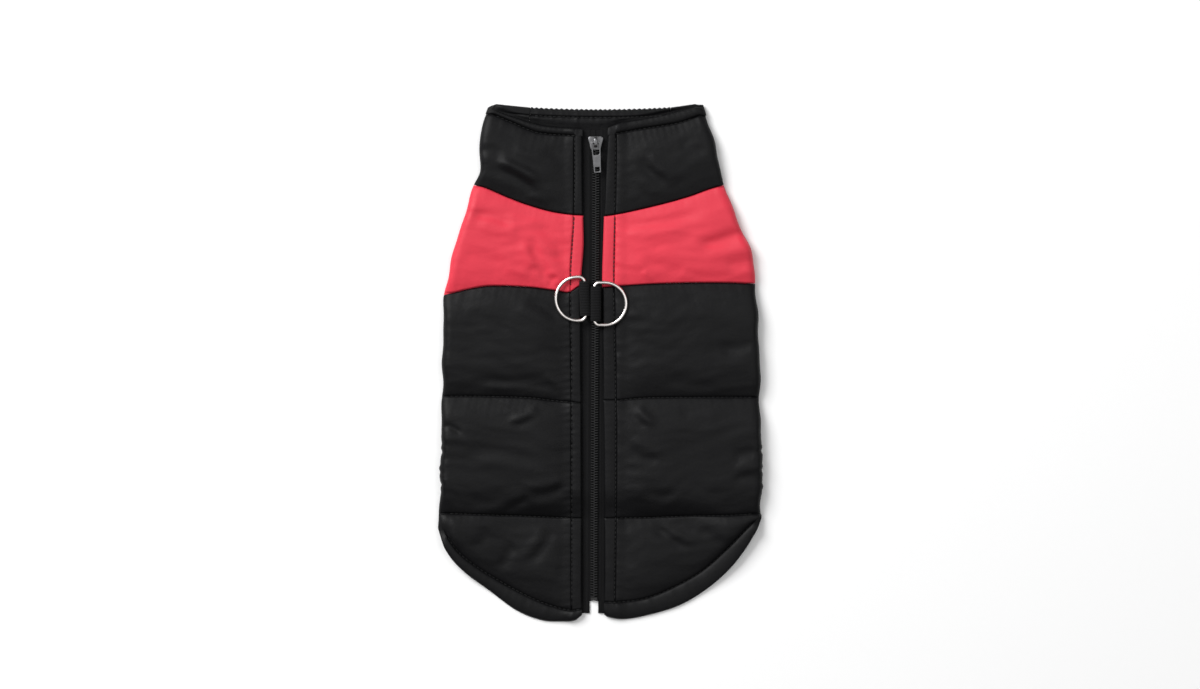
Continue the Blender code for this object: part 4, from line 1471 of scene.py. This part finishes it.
@dataclass
class Zip:
    """Tapes, coil and bottom stop of the zip, in millimetres."""

    top: float = 163.0
    bottom: float = -175.0
    notch: float = 3.0
    chain_top: float = 152.0
    chain_bottom: float = -166.0
    tooth: tuple[float, float, float] = (3.1, 0.9, 1.3)
    stop: tuple[float, float, float] = (4.9, 2.2, 1.5)
    pitch: float = 0.9
    overlap: float = 0.55
    cord: float = 0.35
    cord_at: float = 4.4
    cord_width: float = 0.55
    first_turn: float = 1.0
    bare_ends: float = 3.0
    stop_lift: float = 1.2
    turn_angle: float = math.radians(5.0)
    rounding: float = 0.24

    def levels(self) -> np.ndarray:
        """Rows down a tape.

        Returns:
            Y of the rows.
        """
        steps = [self.top - 4.0 * i for i in range(62)] + [-86.0 - 2.0 * i for i in range(16)]
        rest = [
            -119.0, -123.0, -128.0, -134.0, -140.0, -147.0, -154.0, -160.0, -166.0, -166.7, -171.0,
            self.bottom,
        ]
        return np.array(steps + rest)

    def base(self, x: np.ndarray, y: np.ndarray) -> np.ndarray:
        """Height of the surface that the tape lies on."""
        left = SHAPE.floor(LEFT, x, y)
        return np.where(x < SHAPE.zip_x[0], left, SHAPE.floor(RIGHT, x, y))

    def seat(self, x: float, y: float) -> float:
        """Height at which the coil and its stop lie over the tapes."""
        return float(self.base(np.array([x]), np.array([y]))[0]) + SHAPE.tape_thick + SHAPE.seam_gap

    def tape(self, side: Side) -> bpy.types.Object:
        """One half of the tape, woven with a raised cord beside the coil.

        Args:
            side: The side that the tape is on.

        Returns:
            The piece.
        """
        levels = self.levels()
        marks = np.array(
            [0.0, 0.06, 0.12, 0.17, 0.2, 0.225, 0.25, 0.275, 0.3, 0.33, 0.37, 0.42, 0.5, 0.6, 0.8, 1.0]
        )

        def place(columns: np.ndarray, rows: np.ndarray) -> tuple[np.ndarray, np.ndarray]:
            """Lower and upper points of the tape.

            Args:
                columns: Column indices.
                rows: Row indices.

            Returns:
                The lower points, then the upper ones, in millimetres.
            """
            y = levels[rows]
            start = np.where(y < self.chain_bottom, self.notch, SHAPE.seam_gap / 2.0)
            away = blended(start, SHAPE.tape_half, marks[columns])
            x = SHAPE.zip_middle(y) + side.sign * away
            floor = self.base(x, y)
            raised = self.cord * np.exp(-(((away - self.cord_at) / self.cord_width) ** 2))
            ripple = 0.07 * gathers(y, 3.0 + side.sign) * eased(5.0, 9.0, away)
            top = floor + SHAPE.tape_thick + raised - 0.07 + 0.9 * ripple
            return np.stack([x, y, floor], 1), np.stack([x, y, top], 1)

        name = "zip_tape_" + side.name
        piece = finished(name + "_woven", walled(len(marks), len(levels), place), [Finish.ZIP_TAPE], 60.0)
        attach(piece, "coat")
        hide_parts(name)
        return piece

    def coil(self) -> bpy.types.Object:
        """The closed coil: turns from both sides that meet in the middle, and the bottom stop.

        Returns:
            The piece.
        """
        bm = bmesh.new()
        long, wide, high = self.tooth
        count = int((self.chain_top - self.chain_bottom - self.bare_ends) / self.pitch)
        for index in range(count):
            sign = -1.0 if index % 2 else 1.0
            y = self.chain_top - self.first_turn - index * self.pitch
            x = float(SHAPE.zip_middle(y)) + sign * (long / 2.0 - self.overlap)
            z = self.seat(x, y) + high / 2.0
            turn = Matrix.Rotation(sign * self.turn_angle, 4, "Z")
            size = Matrix.Diagonal((long * MM, wide * MM, high * MM, 1.0))
            place = Matrix.Translation(Vector((x, y, z)) * MM)
            bmesh.ops.create_cube(bm, size=1.0, matrix=place @ turn @ size)
        stop_y = self.chain_bottom + self.stop_lift
        middle = float(SHAPE.zip_middle(stop_y))
        z = self.seat(middle, stop_y) + self.stop[2] / 2.0
        size = Matrix.Diagonal((*(side * MM for side in self.stop), 1.0))
        place = Matrix.Translation(Vector((middle, stop_y, z)) * MM)
        bmesh.ops.create_cube(bm, size=1.0, matrix=place @ size)
        bmesh.ops.bevel(
            bm,
            geom=bm.edges[:],
            offset=self.rounding * MM,
            segments=1,
            profile=0.5,
            affect="EDGES",
            material=-1,
        )
        turned_out(bm)
        piece = finished("zip_coil_turns", bm, [Finish.COIL], 30.0)
        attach(piece, "coat")
        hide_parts("zip_chain")
        return piece


@dataclass
class Slider:
    """The zip slider and its pull tab, in millimetres."""

    x: float = -3.4
    y: float = 153.3
    length: float = 9.6
    widths: Profile = Profile(((-4.8, 3.6), (-3.0, 3.8), (0.0, 4.4), (2.6, 5.15), (4.0, 5.2), (4.8, 4.7)))
    floor: float = 5.7
    plate_floor: float = 7.6
    plate: float = 1.0
    crown: float = 0.42
    edge_rounding: float = 0.16
    channel: float = 3.1
    flange_height: float = 2.3
    bridge: tuple[float, float, float] = (2.3, 7.4, 3.0)
    bridge_wall: float = 0.9
    pull_y: float = 153.9
    axis_height: float = 1.05
    lean: float = math.radians(3.6)
    pull_half: Profile = Profile(
        ((-21.45, 2.2), (-20.6, 2.5), (-14.0, 2.72), (-6.6, 3.1), (-0.4, 3.1), (0.55, 2.7))
    )
    pull_ends: Pair = (-21.45, 0.55)
    pull_thick: float = 1.1
    pull_rounding: float = 0.28
    eye: Pair = (4.3, 8.4)
    eye_corner: float = 1.2
    tip_hole: Pair = (3.1, 2.9)
    tip_hole_y: float = -18.9
    tip_corner: float = 0.5

    def plate_part(self, columns: np.ndarray, rows: np.ndarray) -> tuple[np.ndarray, np.ndarray]:
        """Crowned plate, broad at the top end.

        Args:
            columns: Column indices.
            rows: Row indices.

        Returns:
            Top and bottom points in millimetres.
        """
        t = columns / 8.0 - 1.0
        s = rows / 8.0 - 1.0
        across = np.sign(t) * (1.0 - (1.0 - np.abs(t)) ** 1.6)
        down = np.sign(s) * (1.0 - (1.0 - np.abs(s)) ** 1.6)
        y = down * self.length / 2.0
        round_off = np.sqrt(np.clip(1.0 - 0.32 * np.abs(down) ** 8, 0.0, 1.0))
        x = across * self.widths(y) * round_off
        edge = np.maximum(np.abs(across), np.abs(down))
        top = self.plate_floor + self.plate - self.crown * edge**6 + 0.04
        base = self.plate_floor + 0.18 * edge**8
        place = np.stack([self.x + x, self.y + y], 1)
        top = np.minimum(top, self.plate_floor + self.plate)
        return np.column_stack([place, top]), np.column_stack([place, base])

    def flange(self, sign: float) -> Placer:
        """Placer of the wall beside the coil.

        Args:
            sign: -1 for the left wall, 1 for the right one.

        Returns:
            The placer of its grid.
        """

        def place(columns: np.ndarray, rows: np.ndarray) -> tuple[np.ndarray, np.ndarray]:
            """Top and bottom points.

            Args:
                columns: Column indices.
                rows: Row indices.

            Returns:
                The top points, then the bottom ones, in millimetres.
            """
            y = (rows / 7.0 - 1.0) * (self.length / 2.0 - 0.25)
            outer = self.widths(y) * np.sqrt(np.clip(1.0 - 0.3 * np.abs(y / 4.8) ** 8, 0.0, 1.0)) - 0.05
            x = self.x + sign * blended(self.channel, outer, columns / 2.0)
            flat = np.full(len(x), self.floor + 0.05)
            top = flat + self.flange_height
            return np.stack([x, self.y + y, top], 1), np.stack([x, self.y + y, flat], 1)

        return place

    def arch(self, columns: np.ndarray, rows: np.ndarray) -> tuple[np.ndarray, np.ndarray]:
        """The bridge over the pull tab's bar, slimmer at its ends.

        Args:
            columns: Column indices.
            rows: Row indices.

        Returns:
            Outer and inner points in millimetres.
        """
        width, length, height = self.bridge
        angle = math.pi * rows / 18.0
        y = np.sign(np.cos(angle)) * np.abs(np.cos(angle)) ** 0.75
        z = np.abs(np.sin(angle)) ** 0.7
        x = self.x + (columns / 3.0 - 1.0) * width / 2.0 * (1.0 - 0.12 * np.abs(columns / 3.0 - 1.0) * z)
        crown = 0.16 * (columns / 3.0 - 1.0) ** 2
        wall = self.bridge_wall
        base = self.plate_floor + self.plate - 0.15
        outer = np.stack([x, self.pull_y + y * length / 2.0, base + z * (height + 0.15 - crown)], 1)
        inner = np.stack([x, self.pull_y + y * (length / 2.0 - wall), base + z * (height + 0.15 - wall)], 1)
        return outer, inner

    def body(self) -> bpy.types.Object:
        """Build the slider's body.

        Returns:
            The piece.
        """
        bm = walled(17, 17, self.plate_part)
        parts = [walled(3, 15, self.flange(-1.0)), walled(3, 15, self.flange(1.0)), walled(7, 19, self.arch)]
        for part in parts:
            joined(bm, part)
        bmesh.ops.bevel(
            bm,
            geom=[e for e in bm.edges if e.calc_face_angle(0.0) > math.radians(50.0)],
            offset=self.edge_rounding * MM,
            segments=2,
            profile=0.5,
            affect="EDGES",
            material=-1,
            clamp_overlap=True,
        )
        piece = finished("zip_slider_body", bm, [Finish.GUNMETAL], 35.0)
        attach(piece, "coat")
        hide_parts("zip_slider")
        return piece

    def ring_of(self, curve: bpy.types.Curve, points: Sequence[Pair]) -> None:
        """Add a closed outline to a flat curve.

        Args:
            curve: The curve.
            points: The outline, in millimetres.
        """
        spline = curve.splines.new("POLY")
        spline.points.add(len(points) - 1)
        for point, (x, y) in zip(spline.points, points):
            point.co = (x * MM, y * MM, 0.0, 1.0)
        spline.use_cyclic_u = True

    def pull(self) -> bpy.types.Object:
        """Build the pull tab: a tapered plate with an eye at the bridge and a small hole at its tip.

        Returns:
            The piece.
        """
        curve = bpy.data.curves.new("pull_outline", "CURVE")
        curve.dimensions = "2D"
        curve.fill_mode = "BOTH"
        rounding = self.pull_rounding
        tail, head = self.pull_ends
        curve.bevel_depth = rounding * MM
        curve.bevel_resolution = 2
        curve.extrude = (self.pull_thick / 2.0 - rounding) * MM
        ys = np.concatenate(
            [np.linspace(head, -0.4, 5), np.linspace(-2.0, -20.2, 12), np.linspace(-20.6, tail, 5)]
        )
        half = self.pull_half(ys) - rounding
        ys = np.clip(ys, tail + rounding, head - rounding)
        self.ring_of(curve, [*zip(half, ys), *zip(-half[::-1], ys[::-1])])
        eye_middle = -self.pull_thick / 2.0 - self.eye[1] / 2.0
        eye = (self.eye[0] + 2 * rounding, self.eye[1] + 2 * rounding)
        self.ring_of(curve, rounded_box((0.0, eye_middle), eye, self.eye_corner))
        tip = (self.tip_hole[0] + 2 * rounding, self.tip_hole[1] + 2 * rounding)
        self.ring_of(curve, rounded_box((0.0, self.tip_hole_y), tip, self.tip_corner))
        axis = Vector((self.x, self.pull_y, self.plate_floor + self.plate + self.axis_height)) * MM
        bm = meshed(curve, Matrix.Translation(axis) @ Matrix.Rotation(self.lean, 4, "Z"))
        piece = finished("zip_pull_tab", bm, [Finish.GUNMETAL], 40.0)
        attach(piece, "pull_tab")
        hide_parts("zip_pull")
        return piece


def joined(bm: bmesh.types.BMesh, other: bmesh.types.BMesh) -> None:
    """Add another bmesh's shape to a bmesh and free it.

    Args:
        bm: The mesh that grows.
        other: The mesh that is added and freed.
    """
    mesh = bpy.data.meshes.new("part")
    other.to_mesh(mesh)
    other.free()
    bm.from_mesh(mesh)
    bpy.data.meshes.remove(mesh)


def rounded_box(middle: Pair, size: Pair, radius: float) -> list[Pair]:
    """Outline of a box with rounded corners, clockwise for a hole.

    Args:
        middle: Its middle.
        size: Its full width and length.
        radius: Radius of its corners.

    Returns:
        Points in millimetres.
    """
    points = []
    for quarter in range(4):
        for step in range(5):
            angle = -math.pi / 2.0 * (quarter + step / 4.0)
            side_x = 1.0 if quarter in (0, 3) else -1.0
            side_y = -1.0 if quarter in (0, 1) else 1.0
            x = middle[0] + side_x * (size[0] / 2.0 - radius) + radius * math.cos(angle)
            y = middle[1] + side_y * (size[1] / 2.0 - radius) + radius * math.sin(angle)
            points.append((x, y))
    return points


def meshed(curve: bpy.types.Curve, place: Matrix) -> bmesh.types.BMesh:
    """Turn a curve into a closed mesh at a place.

    Args:
        curve: The curve, removed afterwards.
        place: Its frame in metres.

    Returns:
        The mesh.
    """
    obj = bpy.data.objects.new("curve", curve)
    bpy.context.scene.collection.objects.link(obj)
    mesh = bpy.data.meshes.new_from_object(obj.evaluated_get(bpy.context.evaluated_depsgraph_get()))
    bpy.data.objects.remove(obj)
    bpy.data.curves.remove(curve)
    bm = bmesh.new()
    bm.from_mesh(mesh)
    bpy.data.meshes.remove(mesh)
    bmesh.ops.remove_doubles(bm, verts=bm.verts[:], dist=0.005 * MM)
    bmesh.ops.transform(bm, matrix=place, verts=bm.verts[:])
    turned_out(bm)
    return bm


@dataclass
class RingSet:
    """A D-ring and the webbing loop that holds it, in millimetres."""

    name: str
    side: Side
    bar_x: float
    y: float
    height: float
    reach: float
    lean: float
    tilt: float
    sleeve: Pair = (1.75, 1.75)
    wire: float = 1.22
    corner: float = 3.8
    loop_height: float = 10.4
    clearance: float = 0.35
    webbing: float = 1.0
    webbing_width: float = 24.2
    low: float = -4.7
    wrapped: float = math.radians(264.0)

    def frame(self, tilted: bool) -> Matrix:
        """Place of the ring's bar, with or without the ring's tilt.

        Args:
            tilted: Whether it has the ring's tilt.

        Returns:
            The place in metres.
        """
        turned = Matrix.Rotation(math.radians(self.lean), 4, "Z")
        if tilted:
            turned = turned @ Matrix.Rotation(-self.side.sign * math.radians(self.tilt), 4, "Y")
        return Matrix.Translation(Vector((self.bar_x, self.y, self.loop_height)) * MM) @ turned

    def arc(self, middle: Pair, radius: float, start: float, stop: float, steps: int) -> list[Pair]:
        """Points on a part of a circle, in degrees, without its last point."""
        angles = [math.radians(start + (stop - start) * i / steps) for i in range(steps)]
        return [(middle[0] + radius * math.cos(a), middle[1] + radius * math.sin(a)) for a in angles]

    def ring(self) -> bpy.types.Object:
        """Build the D-ring: straight bar, two tight corners and a round bow.

        Returns:
            The piece.
        """
        half = self.height / 2.0
        r = self.corner
        path = self.arc((r, half - r), r, 90.0, 180.0, 8)
        path += [(0.0, half - r - (self.height - 2.0 * r) * i / 8.0) for i in range(8)]
        path += self.arc((r, -half + r), r, 180.0, 270.0, 8)
        path += self.arc((self.reach - half, 0.0), half, -90.0, 90.0, 40) + [(self.reach - half, half)]
        curve = bpy.data.curves.new("ring_wire", "CURVE")
        curve.dimensions = "3D"
        curve.bevel_depth = self.wire * MM
        curve.bevel_resolution = 6
        spline = curve.splines.new("POLY")
        spline.points.add(len(path) - 1)
        for point, (x, y) in zip(spline.points, path):
            point.co = (self.side.sign * x * MM, y * MM, 0.0, 1.0)
        spline.use_cyclic_u = True
        piece = finished(self.name + "_wire", meshed(curve, self.frame(True)), [Finish.NICKEL], 60.0)
        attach(piece, "d_" + self.name)
        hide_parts(self.name)
        return piece

    def wrap(self) -> list[tuple[float, float, float, float]]:
        """The webbing's path in the ring's section.

        Returns:
            Distance out, height and outward normal of each point.
        """
        bore = self.wire + self.clearance
        outward, inward = self.sleeve
        slack = math.sin(abs(math.radians(self.lean))) * self.webbing_width / 2.0
        edge = float(self.side.zip_edge(self.y)) - self.side.sign * self.bar_x - SHAPE.seam_gap - slack
        down = min(edge - self.webbing, outward)
        path = [(down, height, 1.0, 0.0) for height in (self.low, self.low + 1.2, self.low + 2.2)]
        first = -math.acos(down / outward)
        for step in range(33):
            angle = first + (self.wrapped - first) * step / 32.0
            reach = outward if math.cos(angle) > 0.0 else inward
            normal = Vector((bore * math.cos(angle), reach * math.sin(angle))).normalized()
            path.append((reach * math.cos(angle), bore * math.sin(angle), normal.x, normal.y))
        return path

    def webbing_piece(self) -> bpy.types.Object:
        """Build the webbing round the bar, with its sewn foot.

        Returns:
            The piece.
        """
        path = np.array(self.wrap())
        across = 27
        place = np.array(self.frame(False))
        name = "loop_" + self.side.name

        def at(columns: np.ndarray, rows: np.ndarray) -> tuple[np.ndarray, np.ndarray]:
            """Outside and inside points.

            Args:
                columns: Column indices.
                rows: Row indices.

            Returns:
                Outer and inner points in millimetres.
            """
            t = 2.0 * columns / (across - 1) - 1.0
            rim = np.abs(t) ** 14
            y = t * self.webbing_width / 2.0 + 0.12 * gathers(rows * 1.1, 2.0) * rim
            out, height, normal_out, normal_up = path[rows].T
            thick = self.webbing * (1.0 - 0.25 * rim) + 0.05 * np.cos(columns * math.pi)
            far = self.side.sign * (out + normal_out * thick)
            outside = np.stack([far, y, height + normal_up * thick], 1)
            inside = np.stack([self.side.sign * out, y, height], 1)
            made = [points * MM @ place[:3, :3].T + place[:3, 3] for points in (outside, inside)]
            return made[0] / MM, made[1] / MM

        piece = finished(name + "_webbing", walled(across, len(path), at), [Finish.WEBBING], 60.0)
        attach(piece, "coat")
        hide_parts(name)
        return piece


@dataclass
class Stitching:
    """Rows of stitches, seated in the grooves of finished panels; sizes in millimetres."""

    name: str
    finish: Finish
    slot: str
    panels: Sequence[bpy.types.Object]
    length: float = 2.6
    pitch: float = 3.2
    thread: float = 0.3
    shortest: float = 0.2
    widening: float = 1.15
    standing: float = 0.35
    bm: bmesh.types.BMesh = field(default_factory=bmesh.new)

    def __post_init__(self) -> None:
        """Prepare the panels for seating."""
        self.trees = []
        for panel in self.panels:
            bm = bmesh.new()
            bm.from_mesh(panel.data)
            self.trees.append(BVHTree.FromBMesh(bm))
            bm.free()

    def seat(self, x: float, y: float) -> Vector | None:
        """Highest point of the panels at a place in the plan.

        Args:
            x: Place across, in millimetres.
            y: Place along, in millimetres.

        Returns:
            The point in metres, or None beside the panels.
        """
        hits = [tree.ray_cast(Vector((x, y, 60.0)) * MM, Vector((0.0, 0.0, -1.0)))[0] for tree in self.trees]
        hits = [hit for hit in hits if hit is not None]
        return max(hits, key=lambda hit: hit.z) if hits else None

    def run(self, points: Sequence[Pair], start: float = 0.0) -> None:
        """Sew a row of stitches along a line.

        Args:
            points: The line, in millimetres.
            start: Length left bare before the first stitch.
        """
        line = np.array(points)
        steps = np.hypot(*np.diff(line, axis=0).T)
        marks = np.concatenate([[0.0], np.cumsum(steps)])
        for at in np.arange(start, marks[-1] - self.length, self.pitch):
            ends = [
                self.seat(float(np.interp(s, marks, line[:, 0])), float(np.interp(s, marks, line[:, 1])))
                for s in (at, at + self.length)
            ]
            if None not in ends:
                self.stitch(*ends)

    def stitch(self, first: Vector, second: Vector) -> None:
        """Add one stitch between two points on the cloth.

        Args:
            first: Its start, in metres.
            second: Its end, in metres.
        """
        run = second - first
        if not self.shortest * MM < run.length < 2.0 * self.length * MM:
            return
        turn = Vector((1.0, 0.0, 0.0)).rotation_difference(run).to_matrix().to_4x4()
        size = Matrix.Diagonal((run.length / 2.0, self.thread * self.widening * MM, self.thread * MM, 1.0))
        lift = Vector((0.0, 0.0, self.standing * self.thread * MM))
        place = Matrix.Translation((first + second) / 2.0 + lift) @ turn @ size
        onto_x = Matrix.Rotation(math.pi / 2.0, 4, "Y")
        bmesh.ops.create_uvsphere(self.bm, u_segments=6, v_segments=6, radius=1.0, matrix=place @ onto_x)

    def build(self) -> bpy.types.Object:
        """Finish the sewn rows as one piece.

        Returns:
            The piece.
        """
        piece = finished(self.name, self.bm, [self.finish], 80.0)
        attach(piece, "coat")
        return piece


# Level rows of a solid that are measured to find its widest
ROWS_MEASURED = 60


@dataclass(frozen=True)
class Cut:
    """A panel's cut without allowances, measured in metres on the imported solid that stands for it."""

    width: float
    length: float
    area: float

    @staticmethod
    def of(node: str) -> "Cut":
        """Measure a solid's wall: its widest row round the side fold, its length along the back and one face.

        Args:
            node: Name of the solid's node.

        Returns:
            The cut that the solid was bent from.
        """
        mesh = bpy.data.objects[node].data
        mesh.calc_loop_triangles()
        points = np.array([vertex.co for vertex in mesh.vertices])
        faces = points[[triangle.vertices[:] for triangle in mesh.loop_triangles]]
        normals = np.cross(faces[:, 1] - faces[:, 0], faces[:, 2] - faces[:, 0])
        surface = float(np.linalg.norm(normals, axis=1).sum()) / 2.0
        volume = abs(float(np.einsum("ij,ij->i", faces[:, 0], normals).sum())) / 6.0
        thickness = 2.0 * volume / surface
        low, high = float(points[:, 1].min()), float(points[:, 1].max())
        levels = np.linspace(low, high, ROWS_MEASURED + 2)[1:-1]
        widest = max(outline_length(faces, float(level)) for level in levels) / 2.0
        return Cut(widest - thickness, high - low, surface / 2.0)


def outline_length(faces: np.ndarray, level: float) -> float:
    """Length of a closed mesh's outline where it is cut across.

    Args:
        faces: Corner points of its triangles.
        level: Y of the cut.

    Returns:
        The outline's length, in the points' own unit.
    """
    over = faces[:, :, 1] - level
    crossed = (over.min(axis=1) < 0.0) & (over.max(axis=1) > 0.0)
    total = 0.0
    for corners, heights in zip(faces[crossed], over[crossed]):
        ends = []
        for i, j in ((0, 1), (1, 2), (2, 0)):
            if (heights[i] > 0.0) != (heights[j] > 0.0):
                part = heights[i] / (heights[i] - heights[j])
                ends.append(corners[i] + part * (corners[j] - corners[i]))
        total += float(np.linalg.norm(ends[0] - ends[1]))
    return total


def declared(node: str) -> None:
    """Log a laid piece of cloth's cut, measured on its solid, not on its own mesh.

    Args:
        node: The solid that it stands for.
    """
    cut = Cut.of(node)
    LOG.info("%s: cut %.0f x %.0f mm, %.1f cm2", node, cut.width / MM, cut.length / MM, cut.area * 1e4)


@dataclass
class Coat:
    """The whole garment."""

    rings: tuple[RingSet, ...] = (
        RingSet("ring_left", LEFT, -10.8, 45.0, 30.4, 20.4, 2.0, -2.0, (2.8, 2.4)),
        RingSet("ring_right", RIGHT, -4.4, 41.3, 29.6, 22.2, 0.0, 0.4, (3.7, 1.57)),
    )
    inset: float = 0.35
    collar_row: Pair = (106.0, 158.0)
    band_row: Pair = (53.0, 103.0)
    body_row: Pair = (-166.0, 50.0)
    rim_reach: float = 46.0
    rim_half: float = 49.0

    def panels(self, side: Side) -> list[Panel]:
        """The three panels of a side.

        Args:
            side: The side.

        Returns:
            Collar, band and body panel.
        """
        collar = (
            Cell("collar_edge", "collar_stitch", 0.0, 6.4, True),
            Cell("collar_stitch", "neck_seam", 3.4, 52.0),
        )
        band = (Cell("neck_seam", "band_seam", 3.8, 56.0),)
        body = (
            Cell("band_seam", "quilt_1", 4.2, 79.0),
            Cell("quilt_1", "quilt_2", 4.2, 82.0),
            Cell("quilt_2", "hem_stitch", 3.4, 48.0),
            Cell("hem_stitch", "hem_edge", 0.0, 9.0, True),
        )
        return [
            Panel("collar_" + side.name, side, collar, Finish.BLACK_SHELL),
            Panel("band_" + side.name, side, band, Finish.RED_SHELL, liveliness=1.4, groove=0.95),
            Panel("body_" + side.name, side, body, Finish.BLACK_SHELL, pit=0.3 if side.sign < 0 else 0.0),
        ]

    def line_points(self, side: Side, name: str, start: float, stop: float) -> list[Pair]:
        """Points of a sewn line between two distances from the middle.

        Args:
            side: The side.
            name: The line's name.
            start: First distance from the middle.
            stop: Last distance from the middle.

        Returns:
            Points in millimetres.
        """
        outs = np.linspace(start, stop, 60)
        ys = side.lines[name].top(outs)
        return [(side.sign * float(out), float(y)) for out, y in zip(outs, ys)]

    def sew(self, made: dict[str, bpy.types.Object]) -> list[bpy.types.Object]:
        """Add the stitches of both sides.

        Args:
            made: The finished panels, by node.

        Returns:
            The black stitches and the red ones.
        """
        black = [piece for name, piece in made.items() if name.startswith(("collar", "body", "belly"))]
        red = [piece for name, piece in made.items() if name.startswith("band")]
        dark = Stitching("black_stitches", Finish.BLACK_THREAD, "black_shell", black)
        bright = Stitching(
            "red_stitches", Finish.RED_THREAD, "red_shell", red, length=2.85, pitch=3.0, thread=0.5
        )
        for side in (LEFT, RIGHT):
            zip_rows = ((dark, self.collar_row), (dark, self.body_row), (bright, self.band_row))
            for rows, (low, high) in zip_rows:
                ys = np.linspace(high, low, 120)
                rows.run([(side.sign * (float(side.zip_stitch(y)) - self.inset), float(y)) for y in ys], 1.0)
            edge, collar_end = (13.5, 74.0) if side.sign < 0 else (4.5, 66.0)
            reach = float(SHAPE.corner(side, -110.0))
            begin = float(side.zip_stitch(159.0)) - self.inset
            dark.run(self.line_points(side, "collar_stitch", begin, collar_end))
            dark.run(self.line_points(side, "hem_stitch", edge, reach), 1.0)
            for name in ("quilt_1", "quilt_2"):
                dark.run(self.line_points(side, name, edge + 8.0, reach), 1.0)
        rim = [(float(x), self.rim_y(float(x))) for x in np.linspace(-self.rim_reach, self.rim_reach, 80)]
        dark.run(rim)
        return [dark.build(), bright.build()]

    def rim_y(self, x: float) -> float:
        """Y of the throat rim's stitching.

        Args:
            x: Place across.

        Returns:
            Y in millimetres.
        """
        t = x / self.rim_half
        bow = (SHAPE.throat_middle - SHAPE.throat_seam) * (1.0 - t * t)
        return SHAPE.throat_seam + bow - SHAPE.rim_stitch

    def build(self) -> None:
        """Build every piece of the coat and log the cuts of its cloth panels, zip tapes and webbing loops."""
        made = {}
        for side in (LEFT, RIGHT):
            for panel in self.panels(side):
                made[panel.name] = panel.build()
                LOG.info("%s: %d faces", panel.name, len(made[panel.name].data.polygons))
        made["belly_panel"] = BellyPanel().build()
        LOG.info("belly panel: %d faces", len(made["belly_panel"].data.polygons))
        zipper = Zip()
        tapes = [zipper.tape(side) for side in (LEFT, RIGHT)]
        zipper.coil()
        slider = Slider()
        slider.body()
        slider.pull()
        LOG.info("zip: two tapes, coil, slider and pull tab")
        loops = []
        for ring in self.rings:
            ring.ring()
            loops.append(ring.webbing_piece())
        LOG.info("two D-rings in webbing loops")
        sewn = self.sew(made)
        LOG.info("stitches: %d faces", sum(len(piece.data.polygons) for piece in sewn))
        for name, piece in made.items():
            declared(name)
        for side, tape, loop in zip((LEFT, RIGHT), tapes, loops):
            declared("zip_tape_" + side.name)
            declared("loop_" + side.name)


@dataclass
class Studio:
    """Pale floor, soft lights and the camera straight above, in metres; lens and sensor in millimetres."""

    middle: tuple[float, float] = (-0.00035, 0.01295)
    view_width: float = 0.840
    lens: float = 85.0
    sensor: float = 36.0
    floor_size: float = 4.0
    floor_drop: float = 0.0002
    sky: float = 0.13

    def floor(self) -> None:
        """Lay the floor."""
        bm = bmesh.new()
        bmesh.ops.create_grid(bm, x_segments=1, y_segments=1, size=self.floor_size)
        bmesh.ops.translate(bm, vec=(0.0, 0.0, -self.floor_drop), verts=bm.verts[:])
        finished("floor", bm, [Finish.PAPER])

    def light(self, name: str, place: tuple[float, float, float], size: float, power: float) -> None:
        """Hang a square lamp that faces the coat.

        Args:
            name: The lamp's name.
            place: Where it hangs.
            size: Length of its side.
            power: Its power, in watts.
        """
        lamp = bpy.data.lights.new(name, "AREA")
        lamp.shape = "SQUARE"
        lamp.size = size
        lamp.energy = power
        obj = bpy.data.objects.new(name, lamp)
        obj.location = place
        obj.rotation_euler = (-Vector(place)).to_track_quat("-Z", "Y").to_euler()
        bpy.context.scene.collection.objects.link(obj)

    def camera(self) -> None:
        """Hang the camera."""
        lens = bpy.data.cameras.new("camera")
        lens.lens = self.lens
        lens.sensor_width = self.sensor
        obj = bpy.data.objects.new("camera", lens)
        obj.location = (*self.middle, self.view_width * self.lens / self.sensor)
        bpy.context.scene.collection.objects.link(obj)
        bpy.context.scene.camera = obj

    def build(self) -> None:
        """Set up the stage."""
        self.floor()
        self.camera()
        self.light("key", (-1.85, 1.7, 2.0), 1.8, 118.0)
        self.light("fill", (1.6, 0.5, 2.0), 2.1, 12.0)
        self.light("overhead", (0.0, 0.0, 2.5), 3.0, 23.0)
        world = bpy.data.worlds.new("studio")
        world.use_nodes = True
        background = world.node_tree.nodes["Background"]
        background.inputs["Color"].default_value = (1.0, 1.0, 1.0, 1.0)
        background.inputs["Strength"].default_value = self.sky
        bpy.context.scene.world = world
        bpy.context.scene.view_settings.view_transform = "Standard"


def main() -> None:
    """Build the coat and its stage."""
    logging.basicConfig(level=logging.INFO, format="%(message)s")
    Studio().build()
    Coat().build()


if __name__ == "__main__":
    main()
